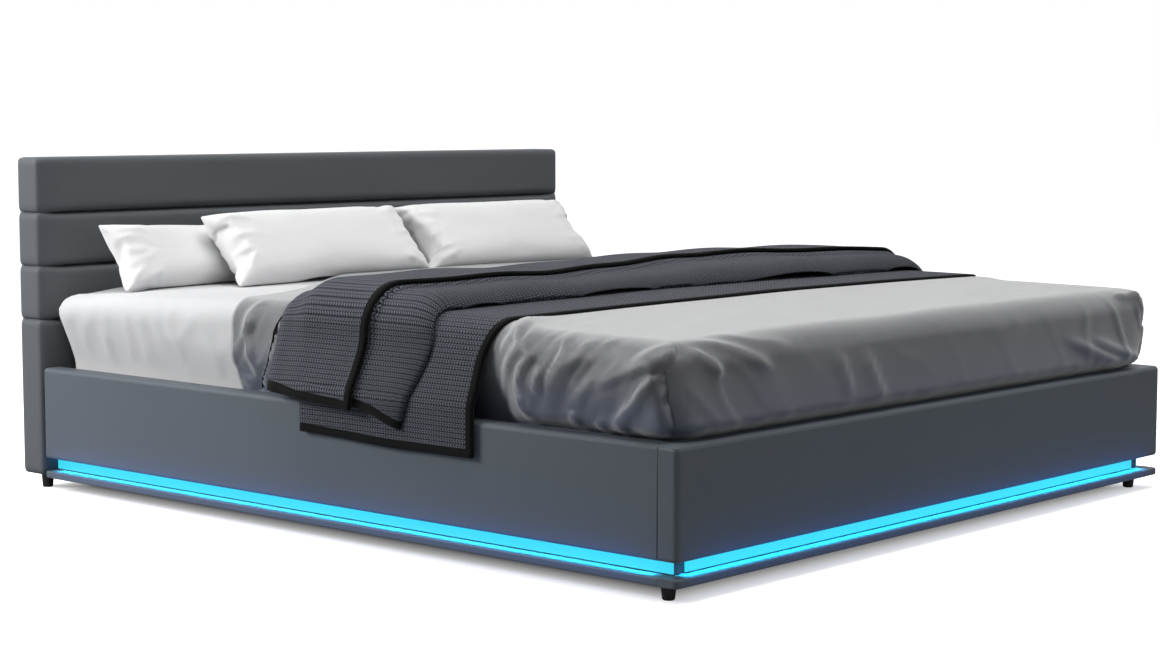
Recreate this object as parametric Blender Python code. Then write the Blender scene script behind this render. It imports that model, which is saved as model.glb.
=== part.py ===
"""Leather bed: padded headboard and rails, lit recessed plinth, lifting slatted platform and bedding.

Metres, +Z up. The headboard stands at +Y and the foot end at -Y. The origin is on the floor, at the
middle of the bed. Left is -X, seen from the foot end looking at the headboard.
"""

import math

import bmesh
import bpy
from mathutils import Matrix, Vector

# Mattress
mattress_width = 1.80
mattress_length = 2.00
mattress_height = 0.245
mattress_side_gap = 0.020
mattress_foot_gap = 0.015
mattress_head_gap = 0.010
mattress_edge_radius = 0.045
mattress_crown = 0.014
mattress_side_bulge = 0.022
mattress_bulge_rise = 0.100

# Levels of the base, from the floor up
foot_height = 0.034
plinth_thickness = 0.0174
channel_height = 0.0326
rail_height = 0.2306
rail_thickness = 0.050
headboard_thickness = 0.097
headboard_bottom = 0.0393
headboard_top = 0.8425
headboard_band_height = 0.1357
mattress_sink = 0.0523

# Upholstery of the rails and the headboard
rail_pad = 0.022
rail_wrap = 0.006
rail_edge_radius = 0.010
rail_lower_radius = 0.008
rail_inner_radius = 0.003
foot_corner_radius = 0.012
foot_board_inset = 0.030
seam_gap = 0.0006
band_edge_radius = 0.013
band_swell = 0.014
band_swell_reach = 0.080
band_channel_depth = 0.016
band_channel_reach = 0.024
band_side_pinch = 0.004
band_wrap = 0.016
core_thickness = 0.034
back_cloth_thickness = 0.002
back_cloth_inset = 0.016

# Plinth, light channel and feet
channel_depth = 0.040
riser_thickness = 0.018
plinth_width = 0.100
plinth_edge_radius = 0.003
led_depth = 0.004
led_margin = 0.0025
led_corner_post = 0.0316
foot_top_radius = 0.0165
foot_tip_radius = 0.0130
foot_tip_chamfer = 0.002
foot_side_inset = 0.045
foot_front_inset = 0.058
rear_foot_inset = 0.038

# Inside of the storage box
beam_width = 0.060
beam_height = 0.025
beam_wall = 0.003
beam_foot_from_end = 0.48
floor_thickness = 0.009
ledge_width = 0.050
ledge_height = 0.028
ledge_edge = 0.002
ledge_from_link = 0.141
bracket_leg = 0.040
bracket_plate = 0.003
bracket_height = 0.110
bracket_rise = 0.016
controller_length = 0.090
controller_width = 0.044
controller_height = 0.021
controller_edge = 0.002
controller_from_head = 0.030
socket_radius = 0.0055
socket_pin_radius = 0.001
socket_depth = 0.010

# Lift: heights over the rails' lower edge, places along the bed from the headboard's front
arm_root_from_head = 0.746
arm_root_rise = 0.073
link_root_from_head = 0.988
link_root_rise = 0.016
strut_root_from_head = 0.7319
strut_root_rise = 0.0221
arm_tip_from_head = 0.320
arm_tip_rise = 0.009
link_tip_from_head = 0.420
link_tip_drop = 0.021
strut_tip_forward = 0.0075
strut_tip_rise = 0.1159

# Lift: plates and pins. A depth is measured inwards from the rail's inner face
lift_plate = 0.003
arm_thickness = 0.004
arm_step = 0.001
layer_step = 0.0015
arm_root_radius = 0.020
arm_tip_radius = 0.016
link_root_radius = 0.018
link_tip_radius = 0.018
lobe_radius = 0.014
pin_radius = 0.006
small_pin_radius = 0.005
pin_head_radius = 0.010
pin_head = 0.0008
pin_play = 0.0003
open_pivot_play = 0.006
lift_plate_margin = 0.024
tip_plate_margin = 0.020

# Gas struts
cylinder_radius = 0.012
cylinder_wall = 0.0022
cylinder_cap = 0.010
rod_radius = 0.0045
strut_eye_radius = 0.010
strut_eye_thickness = 0.008
strut_neck_radius = 0.0039
strut_neck = 0.018
strut_free_end = 0.040
rod_end_gap = 0.004

# Platform
tube_width = 0.030
tube_height = 0.030
cross_tube_height = 0.018
frame_end_gap = 0.010
slat_width = 0.064
slat_thickness = 0.008
slat_bow = 0.0034
slat_strip_width = 0.014
slat_strip_height = 0.0105
slat_strip_drop = 0.0005
slat_strip_margin = 0.020
slat_count = 13
cross_tube_shares = (0.3077, 0.6154)
seam_shares = (0, 0.3, 0.65, 1)
bulge_shares = (0, 0.5, 1)

# Bedding
sheet_gap = 0.0005
sheet_thickness = 0.0015
sheet_tuck = 0.030
duvet_gap = 0.0005
duvet_thickness = 0.007
duvet_tuck = 0.028
duvet_head_left = 0.70
duvet_head_right = 0.27
duvet_sweep = 0.90
throw_gap = 0.0006
throw_hang_gap = 0.0035
throw_bend_radius = 0.020
throw_slant = math.atan2(3, 1)
throw_short_hem = 0.320
throw_long_hem = 0.243
throw_head_left = 0.889
throw_head_right = 0.580
throw_upper_left = 1.010
throw_upper_right = 1.050
throw_roll_left = 1.355
throw_roll_right = 1.375
throw_foot = 1.545
throw_layer = 0.009
throw_crest = 0.056
throw_hang_loft_share = 0.30
throw_mark_shares = (0, 0.3, 1, 1.02, 1.6, 1.85, 2, 2.06, 3)
throw_grid_shares = (0.65, 2.5)
pillow_width = 0.66
pillow_seam = 0.006
pillow_gap = 0.0004
pillow_over_edge = 0.062
pillow_side_draw_share = 0.055
pillow_end_draw_share = 0.10
pillow_puff_share = 0.55

# Play between pieces, overrun of cuts, and reach within which points are one
fit = 0.0003
overrun = 0.02
weld_reach = 0.00001

# Levels and places worked out from the sizes above
plinth_bottom = foot_height
plinth_top = plinth_bottom + plinth_thickness
rail_bottom = plinth_top + channel_height
rail_top = rail_bottom + rail_height
half_width = mattress_width / 2 + mattress_side_gap + rail_thickness
inner_x = half_width - rail_thickness
total_length = (
    headboard_thickness + mattress_head_gap + mattress_length + mattress_foot_gap + rail_thickness
)
y_foot = -total_length / 2
y_back = total_length / 2
y_head = y_back - headboard_thickness
y_inner_foot = y_foot + rail_thickness
mattress_bottom = rail_top - mattress_sink
mattress_top = mattress_bottom + mattress_height
mattress_foot_y = y_inner_foot + mattress_foot_gap
mattress_head_y = y_head - mattress_head_gap
frame_top = mattress_bottom - 7 * fit
frame_bottom = frame_top - tube_height
floor_top = plinth_top + fit + floor_thickness

# Depths of the lift's layers, inwards from the rail
plate_depth = (fit, fit + lift_plate)
arm_depth = (plate_depth[1] + arm_step, plate_depth[1] + arm_step + arm_thickness)
link_depth = (arm_depth[1] + layer_step, arm_depth[1] + layer_step + arm_thickness)
tip_depth = (link_depth[1] + layer_step, link_depth[1] + layer_step + lift_plate)
tube_outer_depth = tip_depth[1] + fit
tube_outer_x = inner_x - tube_outer_depth
strut_depth = link_depth[1] + layer_step + cylinder_radius

# Pivots of the lift, as (y, z)
arm_root = (y_head - arm_root_from_head, rail_bottom + arm_root_rise)
link_root = (y_head - link_root_from_head, rail_bottom + link_root_rise)
strut_root = (y_head - strut_root_from_head, rail_bottom + strut_root_rise)
arm_tip = (y_head - arm_tip_from_head, frame_bottom + arm_tip_rise)
link_tip = (y_head - link_tip_from_head, frame_bottom - link_tip_drop)
strut_tip = (link_root[0] + strut_tip_forward, link_root[1] + strut_tip_rise)

SIDES = ("left", "right")


def sign_of(side):
    return -1 if side == "left" else 1


def srgb(red, green, blue):
    """A colour as seen, turned to the linear values that a material takes."""

    def linear(value):
        if value <= 0.04045:
            return value / 12.92
        return ((value + 0.055) / 1.055) ** 2.4

    return (linear(red), linear(green), linear(blue), 1)


FINISHES = {
    "leather": (srgb(0.36, 0.38, 0.39), 0.42, 0),
    "board": (srgb(0.62, 0.50, 0.36), 0.70, 0),
    "riser": (srgb(0.16, 0.17, 0.18), 0.50, 0),
    "light": (srgb(0.25, 0.90, 1.00), 0.35, 0),
    "black_plastic": (srgb(0.05, 0.05, 0.05), 0.45, 0),
    "backing_cloth": (srgb(0.09, 0.09, 0.10), 0.90, 0),
    "steel_paint": (srgb(0.12, 0.12, 0.13), 0.45, 0.2),
    "zinc": (srgb(0.70, 0.71, 0.72), 0.35, 1),
    "chrome": (srgb(0.86, 0.86, 0.87), 0.10, 1),
    "birch": (srgb(0.80, 0.69, 0.52), 0.55, 0),
    "hardboard": (srgb(0.45, 0.36, 0.27), 0.75, 0),
    "ticking": (srgb(0.90, 0.90, 0.88), 0.85, 0),
    "white_cotton": (srgb(0.93, 0.93, 0.93), 0.80, 0),
    "grey_satin": (srgb(0.56, 0.57, 0.58), 0.45, 0),
    "dark_knit": (srgb(0.22, 0.23, 0.27), 0.90, 0),
}


def finish_of(name, finish):
    """The sub-part's own material."""
    colour, roughness, metallic = FINISHES[finish]
    look = bpy.data.materials.new(name + "_finish")
    look.use_nodes = True
    shader = look.node_tree.nodes["Principled BSDF"]
    shader.inputs["Base Color"].default_value = colour
    shader.inputs["Roughness"].default_value = roughness
    shader.inputs["Metallic"].default_value = metallic
    look.diffuse_color = colour
    return look


def piece(name, bm, finish, smooth=False):
    """A named object from a bmesh, faces turned outwards."""
    bmesh.ops.recalc_face_normals(bm, faces=bm.faces[:])
    closed = all(edge.is_manifold for edge in bm.edges)
    if closed and bm.calc_volume(signed=True) < 0:
        bmesh.ops.reverse_faces(bm, faces=bm.faces[:])
    mesh = bpy.data.meshes.new(name)
    bm.to_mesh(mesh)
    bm.free()
    if smooth:
        mesh.shade_smooth()
        mesh.set_sharp_from_angle(angle=math.radians(35))
    obj = bpy.data.objects.new(name, mesh)
    bpy.context.scene.collection.objects.link(obj)
    if finish:
        mesh.materials.append(finish_of(name, finish))
    return obj


def block(low, high):
    """A box between two corners."""
    bm = bmesh.new()
    bmesh.ops.create_cube(bm, size=1)
    for vert in bm.verts:
        vert.co = Vector(high[i] if vert.co[i] > 0 else low[i] for i in range(3))
    return bm


def prism(outline, axis, start, end):
    """An outline pushed along an axis. The outline lies in the other two axes, in X, Y, Z order."""
    bm = bmesh.new()
    place = "XYZ".index(axis)
    others = [i for i in range(3) if i != place]
    verts = []
    for point in outline:
        spot = [0, 0, 0]
        spot[place] = start
        spot[others[0]] = point[0]
        spot[others[1]] = point[1]
        verts.append(bm.verts.new(spot))
    face = bm.faces.new(verts)
    made = bmesh.ops.extrude_face_region(bm, geom=[face])
    shift = Vector((0, 0, 0))
    shift[place] = end - start
    moved = [item for item in made["geom"] if isinstance(item, bmesh.types.BMVert)]
    bmesh.ops.translate(bm, verts=moved, vec=shift)
    return bm


def arc(centre, radius, start, end, steps):
    """Points of an arc, ends included."""
    points = []
    for i in range(steps + 1):
        angle = start + (end - start) * i / steps
        points.append((centre[0] + radius * math.cos(angle), centre[1] + radius * math.sin(angle)))
    return points


def rounded(corners, steps=3):
    """An outline from (point, radius) corners, each corner rounded by an arc of its radius."""
    outline = []
    count = len(corners)
    for i, (point, radius) in enumerate(corners):
        here = Vector(point)
        if not radius:
            outline.append(tuple(here))
            continue
        back = (Vector(corners[i - 1][0]) - here).normalized()
        ahead = (Vector(corners[(i + 1) % count][0]) - here).normalized()
        half = back.angle(ahead) / 2
        reach = radius / math.tan(half)
        centre = here + (back + ahead).normalized() * (radius / math.sin(half))
        first = here + back * reach - centre
        turn = first.angle_signed(here + ahead * reach - centre)
        for k in range(steps + 1):
            spoke = first.copy()
            spoke.rotate(Matrix.Rotation(-turn * k / steps, 2))
            outline.append(tuple(centre + spoke))
    return outline


def tapered_bar(first, first_radius, second, second_radius, steps=6):
    """The outline that a band makes round two circles."""
    start, end = Vector(first), Vector(second)
    along = end - start
    heading = math.atan2(along.y, along.x)
    lean = math.acos((first_radius - second_radius) / along.length)
    points = arc(first, first_radius, heading + lean, heading + math.tau - lean, steps)
    points += arc(second, second_radius, heading - lean, heading + lean, steps)
    return points


def bar(start, end, radius, sides=16, end_radius=None):
    """A round bar from one point to another."""
    bm = bmesh.new()
    along = Vector(end) - Vector(start)
    turn = Vector((0, 0, 1)).rotation_difference(along).to_matrix().to_4x4()
    middle = Matrix.Translation((Vector(start) + Vector(end)) / 2)
    bmesh.ops.create_cone(
        bm,
        cap_ends=True,
        segments=sides,
        radius1=radius,
        radius2=radius if end_radius is None else end_radius,
        depth=along.length,
        matrix=middle @ turn,
    )
    return bm


def bevel_edges(bm, wanted, width, steps):
    """Rounds the edges that the test picks."""
    edges = [edge for edge in bm.edges if wanted(edge.verts[0].co, edge.verts[1].co)]
    bmesh.ops.bevel(
        bm,
        geom=edges,
        offset=width,
        offset_type="OFFSET",
        segments=steps,
        profile=0.5,
        affect="EDGES",
        material=-1,
        clamp_overlap=True,
    )


def smooth_step(value):
    value = max(0, min(1, value))
    return value * value * (3 - 2 * value)


def station_block(xs, ys, zs):
    """A closed block with grid lines at the given stations of each axis."""
    bm = block((xs[0], ys[0], zs[0]), (xs[-1], ys[-1], zs[-1]))
    for axis, stations in enumerate((xs, ys, zs)):
        normal = Vector(1 if i == axis else 0 for i in range(3))
        for place in stations[1:-1]:
            bmesh.ops.bisect_plane(
                bm,
                geom=bm.verts[:] + bm.edges[:] + bm.faces[:],
                dist=weld_reach,
                plane_co=normal * place,
                plane_no=normal,
            )
    return bm


def cutter(name, bm):
    """A helper solid, left out of the bed."""
    obj = piece(name, bm, None)
    obj.hide_render = True
    obj.display_type = "WIRE"
    return obj


def combine(obj, other, operation):
    """Cuts a helper from a piece, joins it on, or keeps what they share."""
    change = obj.modifiers.new(operation.lower() + "_" + other.name, "BOOLEAN")
    change.operation = operation
    change.solver = "EXACT"
    change.object = other


def join_all(name, shapes, finish, smooth=False):
    """One solid from several shapes that run into each other."""
    obj = piece(name, shapes[0], finish, smooth)
    for i, shape in enumerate(shapes[1:]):
        combine(obj, cutter(f"{name}_shape_{i}", shape), "UNION")
    return obj


def inward(sign, depth):
    """The X of a depth measured inwards from the rail's inner face."""
    return sign * (inner_x - depth)


def inward_span(sign, depths):
    return sorted(inward(sign, depth) for depth in depths)


def at_depth(sign, depth, pivot):
    """A point in space from a depth and a pivot's (y, z)."""
    return (inward(sign, depth), pivot[0], pivot[1])


def padded_band(low, top, back, rounded_top):
    """A padded band: rounded front edges, a front that swells from its ends, drawn in at the seams."""
    radius, reach = band_edge_radius, band_channel_reach
    ends = [0, radius / 2, radius, band_swell_reach / 2, band_swell_reach, half_width / 2]
    xs = [place - half_width for place in ends] + [0] + [half_width - place for place in ends[::-1]]
    ys = [y_head, y_head + radius / 2, y_head + radius, back]
    seam = [reach * share for share in seam_shares]
    zs = [low + place for place in seam]
    zs += [top - radius, top - radius / 2, top] if rounded_top else [top - place for place in seam[::-1]]
    bm = station_block(xs, ys, zs)
    for vert in bm.verts:
        spot = vert.co.copy()
        core = spot.copy()
        core.x = min(max(spot.x, radius - half_width), half_width - radius)
        core.y = max(spot.y, y_head + radius)
        if rounded_top:
            core.z = min(spot.z, top - radius)
        outward = spot - core
        if outward.length > weld_reach:
            vert.co = core + outward.normalized() * radius
        pinch = seam_pinch(spot.z - low)
        if not rounded_top:
            pinch = max(pinch, seam_pinch(top - spot.z))
        inside = smooth_step((half_width - abs(spot.x)) / band_swell_reach)
        recess = band_swell * (1 - inside) + band_channel_depth * pinch * inside
        vert.co.y += recess * (back - spot.y) / (back - y_head)
        at_side = max(0, abs(spot.x) - half_width + radius) / radius
        vert.co.x -= math.copysign(band_side_pinch * pinch * at_side, spot.x)
    return bm


def seam_pinch(distance):
    """How far a seam draws the padding in: a quarter round that ends at the channel's reach."""
    share = min(1, max(0, 1 - distance / band_channel_reach))
    return 1 - math.sqrt(1 - share * share)


def make_headboard():
    """Core board, four padded bands that wrap over it, and the cloth on the back."""
    back_inner = y_back - back_cloth_thickness - fit
    core_front = back_inner - core_thickness
    core_low = headboard_bottom + band_wrap
    core_high = headboard_top - band_wrap
    core_side = half_width - band_wrap
    room = block(
        (-core_side - fit, core_front - fit, core_low - fit),
        (core_side + fit, back_inner + overrun, core_high + fit),
    )
    pocket = cutter("headboard_core_room", room)
    core = block((-core_side, core_front, core_low), (core_side, back_inner, core_high))
    piece("headboard_core", core, "board")
    tops = [headboard_top - i * headboard_band_height for i in range(4)]
    bottoms = tops[1:] + [headboard_bottom - seam_gap]
    for i, (top, bottom) in enumerate(zip(tops, bottoms)):
        bm = padded_band(bottom + seam_gap, top, back_inner, rounded_top=i == 0)
        obj = piece(f"headboard_band_{i + 1}", bm, "leather", smooth=True)
        combine(obj, pocket, "DIFFERENCE")
    cloth = block(
        (-half_width + back_cloth_inset, y_back - back_cloth_thickness, headboard_bottom + back_cloth_inset),
        (half_width - back_cloth_inset, y_back, headboard_top - back_cloth_inset),
    )
    piece("headboard_back_cloth", cloth, "backing_cloth")


def make_side_rails():
    """An upholstered cover of C section, open inwards, round a plain board."""
    start = y_inner_foot + seam_gap
    end = y_head - fit
    for side in SIDES:
        sign = sign_of(side)
        outer = sign * half_width
        inner = sign * inner_x
        board_outer = sign * (half_width - rail_pad)
        corners = [
            ((outer, rail_bottom), rail_lower_radius),
            ((inner, rail_bottom), 0),
            ((inner, rail_bottom + rail_wrap - fit), 0),
            ((board_outer, rail_bottom + rail_wrap - fit), 0),
            ((board_outer, rail_top - rail_wrap + fit), 0),
            ((inner, rail_top - rail_wrap + fit), 0),
            ((inner, rail_top), rail_inner_radius),
            ((outer, rail_top), rail_edge_radius),
        ]
        cover = prism(rounded(corners, 4), "Y", start, end)
        piece(f"side_rail_{side}_cover", cover, "leather", smooth=True)
        xs = sorted((sign * (half_width - rail_pad - fit), inner))
        board = block(
            (xs[0], start, rail_bottom + rail_wrap), (xs[1], end, rail_top - rail_wrap)
        )
        piece(f"side_rail_{side}_board", board, "board")


def make_foot_rail():
    """The rail across the foot end, its upright corners rounded, round a plain board."""
    corners = [
        ((-half_width, y_foot), foot_corner_radius),
        ((half_width, y_foot), foot_corner_radius),
        ((half_width, y_inner_foot), 0),
        ((-half_width, y_inner_foot), 0),
    ]
    bm = prism(rounded(corners, 5), "Z", rail_bottom, rail_top)
    edge_play = rail_edge_radius / 2

    def outside(a, b):
        return min(a.y, b.y) < y_inner_foot - edge_play

    def level(a, b, height):
        return abs(a.z - height) < weld_reach and abs(b.z - height) < weld_reach

    bevel_edges(bm, lambda a, b: outside(a, b) and level(a, b, rail_top), rail_edge_radius, 3)
    bevel_edges(
        bm, lambda a, b: outside(a, b) and level(a, b, rail_bottom), rail_lower_radius, 2
    )
    cover = piece("foot_rail_cover", bm, "leather", smooth=True)
    side = half_width - foot_board_inset
    front = y_foot + rail_pad
    low = rail_bottom + rail_wrap
    high = rail_top - rail_wrap
    room = block(
        (-side - fit, front - fit, low - fit), (side + fit, y_inner_foot + overrun, high + fit)
    )
    combine(cover, cutter("foot_board_room", room), "DIFFERENCE")
    board = block((-side, front, low), (side, y_inner_foot, high))
    piece("foot_rail_board", board, "board")


def make_plinth():
    """Plinth boards flush with the rails, the risers behind the light channel, and the light strips."""
    inner = half_width - plinth_width
    inner_y = y_foot + plinth_width
    corners = [
        ((-half_width, y_foot), foot_corner_radius),
        ((half_width, y_foot), foot_corner_radius),
        ((half_width, y_inner_foot), 0),
        ((inner - fit, y_inner_foot), 0),
        ((inner - fit, inner_y), 0),
        ((-inner + fit, inner_y), 0),
        ((-inner + fit, y_inner_foot), 0),
        ((-half_width, y_inner_foot), 0),
    ]
    foot = prism(rounded(corners, 5), "Z", plinth_bottom, plinth_top)
    bevel_edges(
        foot,
        lambda a, b: abs(a.z - b.z) < weld_reach and max(a.y, b.y) < y_inner_foot - weld_reach,
        plinth_edge_radius,
        2,
    )
    piece("plinth_foot", foot, "leather", smooth=True)
    face_x = half_width - channel_depth
    face_y = y_foot + channel_depth
    riser_back = face_y + riser_thickness
    low = plinth_top + fit
    high = rail_bottom - fit
    across = block((-face_x, face_y, low), (face_x, riser_back, high))
    piece("riser_foot", across, "riser")
    strip_low = low + led_margin
    strip_high = high - led_margin / 2
    strip_end = face_x - led_corner_post
    strip = block(
        (-strip_end, face_y - fit - led_depth, strip_low), (strip_end, face_y - fit, strip_high)
    )
    piece("led_strip_foot", strip, "light")
    for side in SIDES:
        sign = sign_of(side)
        xs = sorted((sign * half_width, sign * inner))
        board = block((xs[0], y_inner_foot + seam_gap, plinth_bottom), (xs[1], y_head - fit, plinth_top))

        def outer_edge(a, b, outer=sign * half_width):
            same_side = abs(a.x - outer) < weld_reach and abs(b.x - outer) < weld_reach
            return same_side and abs(a.z - b.z) < weld_reach

        bevel_edges(board, outer_edge, plinth_edge_radius, 2)
        piece(f"plinth_{side}", board, "leather", smooth=True)
        xs = sorted((sign * face_x, sign * (face_x - riser_thickness)))
        riser = block((xs[0], riser_back + fit, low), (xs[1], y_head - fit, high))
        piece(f"riser_{side}", riser, "riser")
        xs = sorted((sign * (face_x + fit), sign * (face_x + fit + led_depth)))
        strip = block((xs[0], face_y + fit, strip_low), (xs[1], y_head - fit, strip_high))
        piece(f"led_strip_{side}", strip, "light")


def make_foot(name, x, y, top):
    """A tapered black foot with a chamfered tip."""
    bm = bar((x, y, foot_tip_chamfer), (x, y, top), foot_tip_radius, 20, foot_top_radius)
    tip_ring = [vert for vert in bm.verts if vert.co.z < top / 2]
    tip = [face for face in bm.faces if all(vert in tip_ring for vert in face.verts)]
    made = bmesh.ops.extrude_face_region(bm, geom=tip)
    bmesh.ops.delete(bm, geom=tip, context="FACES_ONLY")
    ring = [item for item in made["geom"] if isinstance(item, bmesh.types.BMVert)]
    bmesh.ops.translate(bm, verts=ring, vec=(0, 0, -foot_tip_chamfer))
    tip_share = 1 - foot_tip_chamfer / foot_tip_radius
    bmesh.ops.scale(
        bm, verts=ring, vec=(tip_share, tip_share, 1), space=Matrix.Translation((-x, -y, 0))
    )
    piece(name, bm, "black_plastic", smooth=True)


def make_feet_and_beam():
    """Four corner feet, and a steel beam along the middle on its own two feet."""
    foot_x = half_width - foot_side_inset
    front_y = y_foot + foot_front_inset
    rear_y = y_back - rear_foot_inset
    for side in SIDES:
        sign = sign_of(side)
        make_foot(f"foot_front_{side}", sign * foot_x, front_y, plinth_bottom - fit)
        make_foot(f"foot_rear_{side}", sign * foot_x, rear_y, headboard_bottom - fit)
    beam_top = plinth_top
    beam_low = beam_top - beam_height
    start = y_foot + plinth_width + fit
    end = y_head - fit
    half = beam_width / 2
    beam = block((-half, start, beam_low), (half, end, beam_top))
    obj = piece("centre_beam", beam, "steel_paint")
    hollow = block(
        (-half + beam_wall, start - overrun, beam_low + beam_wall),
        (half - beam_wall, end + overrun, beam_top - beam_wall),
    )
    combine(obj, cutter("beam_hollow", hollow), "DIFFERENCE")
    make_foot("foot_centre_front", 0, start + beam_foot_from_end, beam_low - fit)
    make_foot("foot_centre_rear", 0, end - beam_foot_from_end, beam_low - fit)


def make_storage_floor():
    """Two floor panels that rest on the plinth boards and the beam."""
    side = half_width - channel_depth - riser_thickness - fit
    start = y_foot + channel_depth + riser_thickness + fit
    end = y_head - fit
    middle = (start + end) / 2
    low = plinth_top + fit
    front = block((-side, start, low), (side, middle - fit, low + floor_thickness))
    piece("storage_floor_front", front, "hardboard")
    rear = block((-side, middle + fit, low), (side, end, low + floor_thickness))
    piece("storage_floor_rear", rear, "hardboard")


def make_fixings():
    """Corner angles between rails and ends, and the ledges that carry the closed platform."""
    low = rail_bottom + bracket_rise
    high = low + bracket_height
    leg = bracket_leg
    plate = bracket_plate
    ledge_top = frame_bottom - fit
    for side in SIDES:
        sign = sign_of(side)
        wall = sign * (inner_x - fit)
        ends = (("front", y_inner_foot + fit, 1), ("rear", y_head - fit, -1))
        for end, face, way in ends:
            outline = [
                (wall, face),
                (wall - sign * leg, face),
                (wall - sign * leg, face + way * plate),
                (wall - sign * plate, face + way * plate),
                (wall - sign * plate, face + way * leg),
                (wall, face + way * leg),
            ]
            piece(f"corner_angle_{end}_{side}", prism(outline, "Z", low, high), "zinc")
        xs = sorted((wall, sign * (inner_x - ledge_width)))
        start = y_inner_foot + bracket_leg + ledge_edge
        ledge_end = link_root[0] - ledge_from_link
        ledge = block(
            (xs[0], start, ledge_top - ledge_height), (xs[1], ledge_end, ledge_top)
        )

        def inner_edge(a, b, place=sign * (inner_x - ledge_width)):
            return abs(a.x - place) < weld_reach and abs(b.x - place) < weld_reach

        bevel_edges(ledge, inner_edge, ledge_edge, 1)
        piece(f"ledge_{side}", ledge, "birch")


def make_controller():
    """The light's control box under the right plinth board, its round socket facing the back."""
    x = half_width - plinth_width / 2
    top = plinth_bottom - fit
    rear = y_head - controller_from_head
    half = controller_width / 2
    bm = block(
        (x - half, rear - controller_length, top - controller_height), (x + half, rear, top)
    )
    bevel_edges(bm, lambda a, b: min(a.z, b.z) < top - controller_edge, controller_edge, 2)
    obj = piece("led_controller", bm, "black_plastic")
    height = top - controller_height / 2
    hole = bar((x, rear - socket_depth, height), (x, rear + overrun, height), socket_radius, 16)
    combine(obj, cutter("socket_hole", hole), "DIFFERENCE")
    pin = bar(
        (x, rear - socket_depth - socket_pin_radius, height),
        (x, rear - socket_pin_radius, height),
        socket_pin_radius,
        8,
    )
    combine(obj, cutter("socket_pin", pin), "UNION")


def pin_shapes(sign, pivot, start, end, radius, collar=None, head=None):
    """A pin across the layers, with a spacing collar before the piece it carries and a head after."""
    shapes = [bar(at_depth(sign, start, pivot), at_depth(sign, end, pivot), radius, 12)]
    if collar:
        first, last, wide = collar
        shapes.append(bar(at_depth(sign, first, pivot), at_depth(sign, last, pivot), wide, 12))
    if head:
        first, last, wide = head
        shapes.append(bar(at_depth(sign, first, pivot), at_depth(sign, last, pivot), wide, 12))
    return shapes


def drill(obj, sign, pivot, depths, radius):
    """A round hole across the layers."""
    first = at_depth(sign, depths[0] - overrun, pivot)
    last = at_depth(sign, depths[1] + overrun, pivot)
    tag = f"{obj.name}_hole_{len(obj.modifiers)}"
    combine(obj, cutter(tag, bar(first, last, radius, 16)), "DIFFERENCE")


def make_lift_bracket(side, sign):
    """The plate on the rail's board, with the pins of the arm, the link and the strut."""
    margin = lift_plate_margin
    corners = [
        ((link_root[0] - margin, link_root[1] - margin / 2), margin / 2),
        ((strut_root[0] + margin, strut_root[1] - margin / 2), margin / 2),
        ((arm_root[0] + 2 * margin, arm_root[1] + margin), margin),
        ((arm_root[0] - 2 * margin, arm_root[1] + margin), margin),
        ((link_root[0] - margin, link_root[1] + margin), margin / 2),
    ]
    low, high = inward_span(sign, plate_depth)
    shapes = [prism(rounded(corners, 3), "X", low, high)]
    inside = (plate_depth[0] + plate_depth[1]) / 2
    stop = arm_depth[1] + pin_play
    arm_pin_head = (stop, stop + pin_head, pin_head_radius)
    shapes += pin_shapes(sign, arm_root, inside, stop + pin_head, pin_radius, head=arm_pin_head)
    stop = link_depth[1] + pin_play
    collar = (inside, link_depth[0] - pin_play, pin_head_radius)
    link_pin_head = (stop, stop + pin_head, pin_head_radius)
    shapes += pin_shapes(sign, link_root, inside, stop + pin_head, pin_radius, collar, link_pin_head)
    shapes += strut_pin(sign, strut_root, inside)
    join_all(f"lift_bracket_{side}", shapes, "steel_paint")


def strut_pin(sign, pivot, start):
    """The pin that holds one eye of the gas strut, from a plate at the given depth."""
    eye = (strut_depth - strut_eye_thickness / 2, strut_depth + strut_eye_thickness / 2)
    collar = (start, eye[0] - pin_play, small_pin_radius + (pin_head_radius - pin_radius))
    stop = eye[1] + pin_play
    head = (stop, stop + 2 * pin_head, small_pin_radius + (pin_head_radius - pin_radius))
    return pin_shapes(sign, pivot, start, stop + 2 * pin_head, small_pin_radius, collar, head)


def make_lift_arm(side, sign):
    """The main arm, from the bracket to the platform."""
    low, high = inward_span(sign, arm_depth)
    outline = tapered_bar(arm_root, arm_root_radius, arm_tip, arm_tip_radius)
    obj = piece(f"lift_arm_{side}", prism(outline, "X", low, high), "steel_paint")
    drill(obj, sign, arm_root, arm_depth, pin_radius + pin_play)
    drill(obj, sign, arm_tip, arm_depth, pin_radius + pin_play)
    return obj


def make_lift_link(side, sign):
    """The second link, with the lobe that the gas strut pushes."""
    low, high = inward_span(sign, link_depth)
    long_bar = tapered_bar(link_root, link_root_radius, link_tip, link_tip_radius)
    lobe = tapered_bar(link_root, link_root_radius, strut_tip, lobe_radius)
    inside = (link_depth[0] + link_depth[1]) / 2
    shapes = [prism(long_bar, "X", low, high), prism(lobe, "X", low, high)]
    shapes += strut_pin(sign, strut_tip, inside)
    obj = join_all(f"lift_link_{side}", shapes, "steel_paint")
    drill(obj, sign, link_root, link_depth, pin_radius + pin_play)
    drill(obj, sign, link_tip, link_depth, small_pin_radius + open_pivot_play)
    return obj


def strut_point(sign, travel):
    """A point on the strut's axis, at a length from its lower eye."""
    start = Vector(at_depth(sign, strut_depth, strut_root))
    end = Vector(at_depth(sign, strut_depth, strut_tip))
    return start + (end - start).normalized() * travel


def strut_length():
    return math.dist(strut_root, strut_tip)


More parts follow.
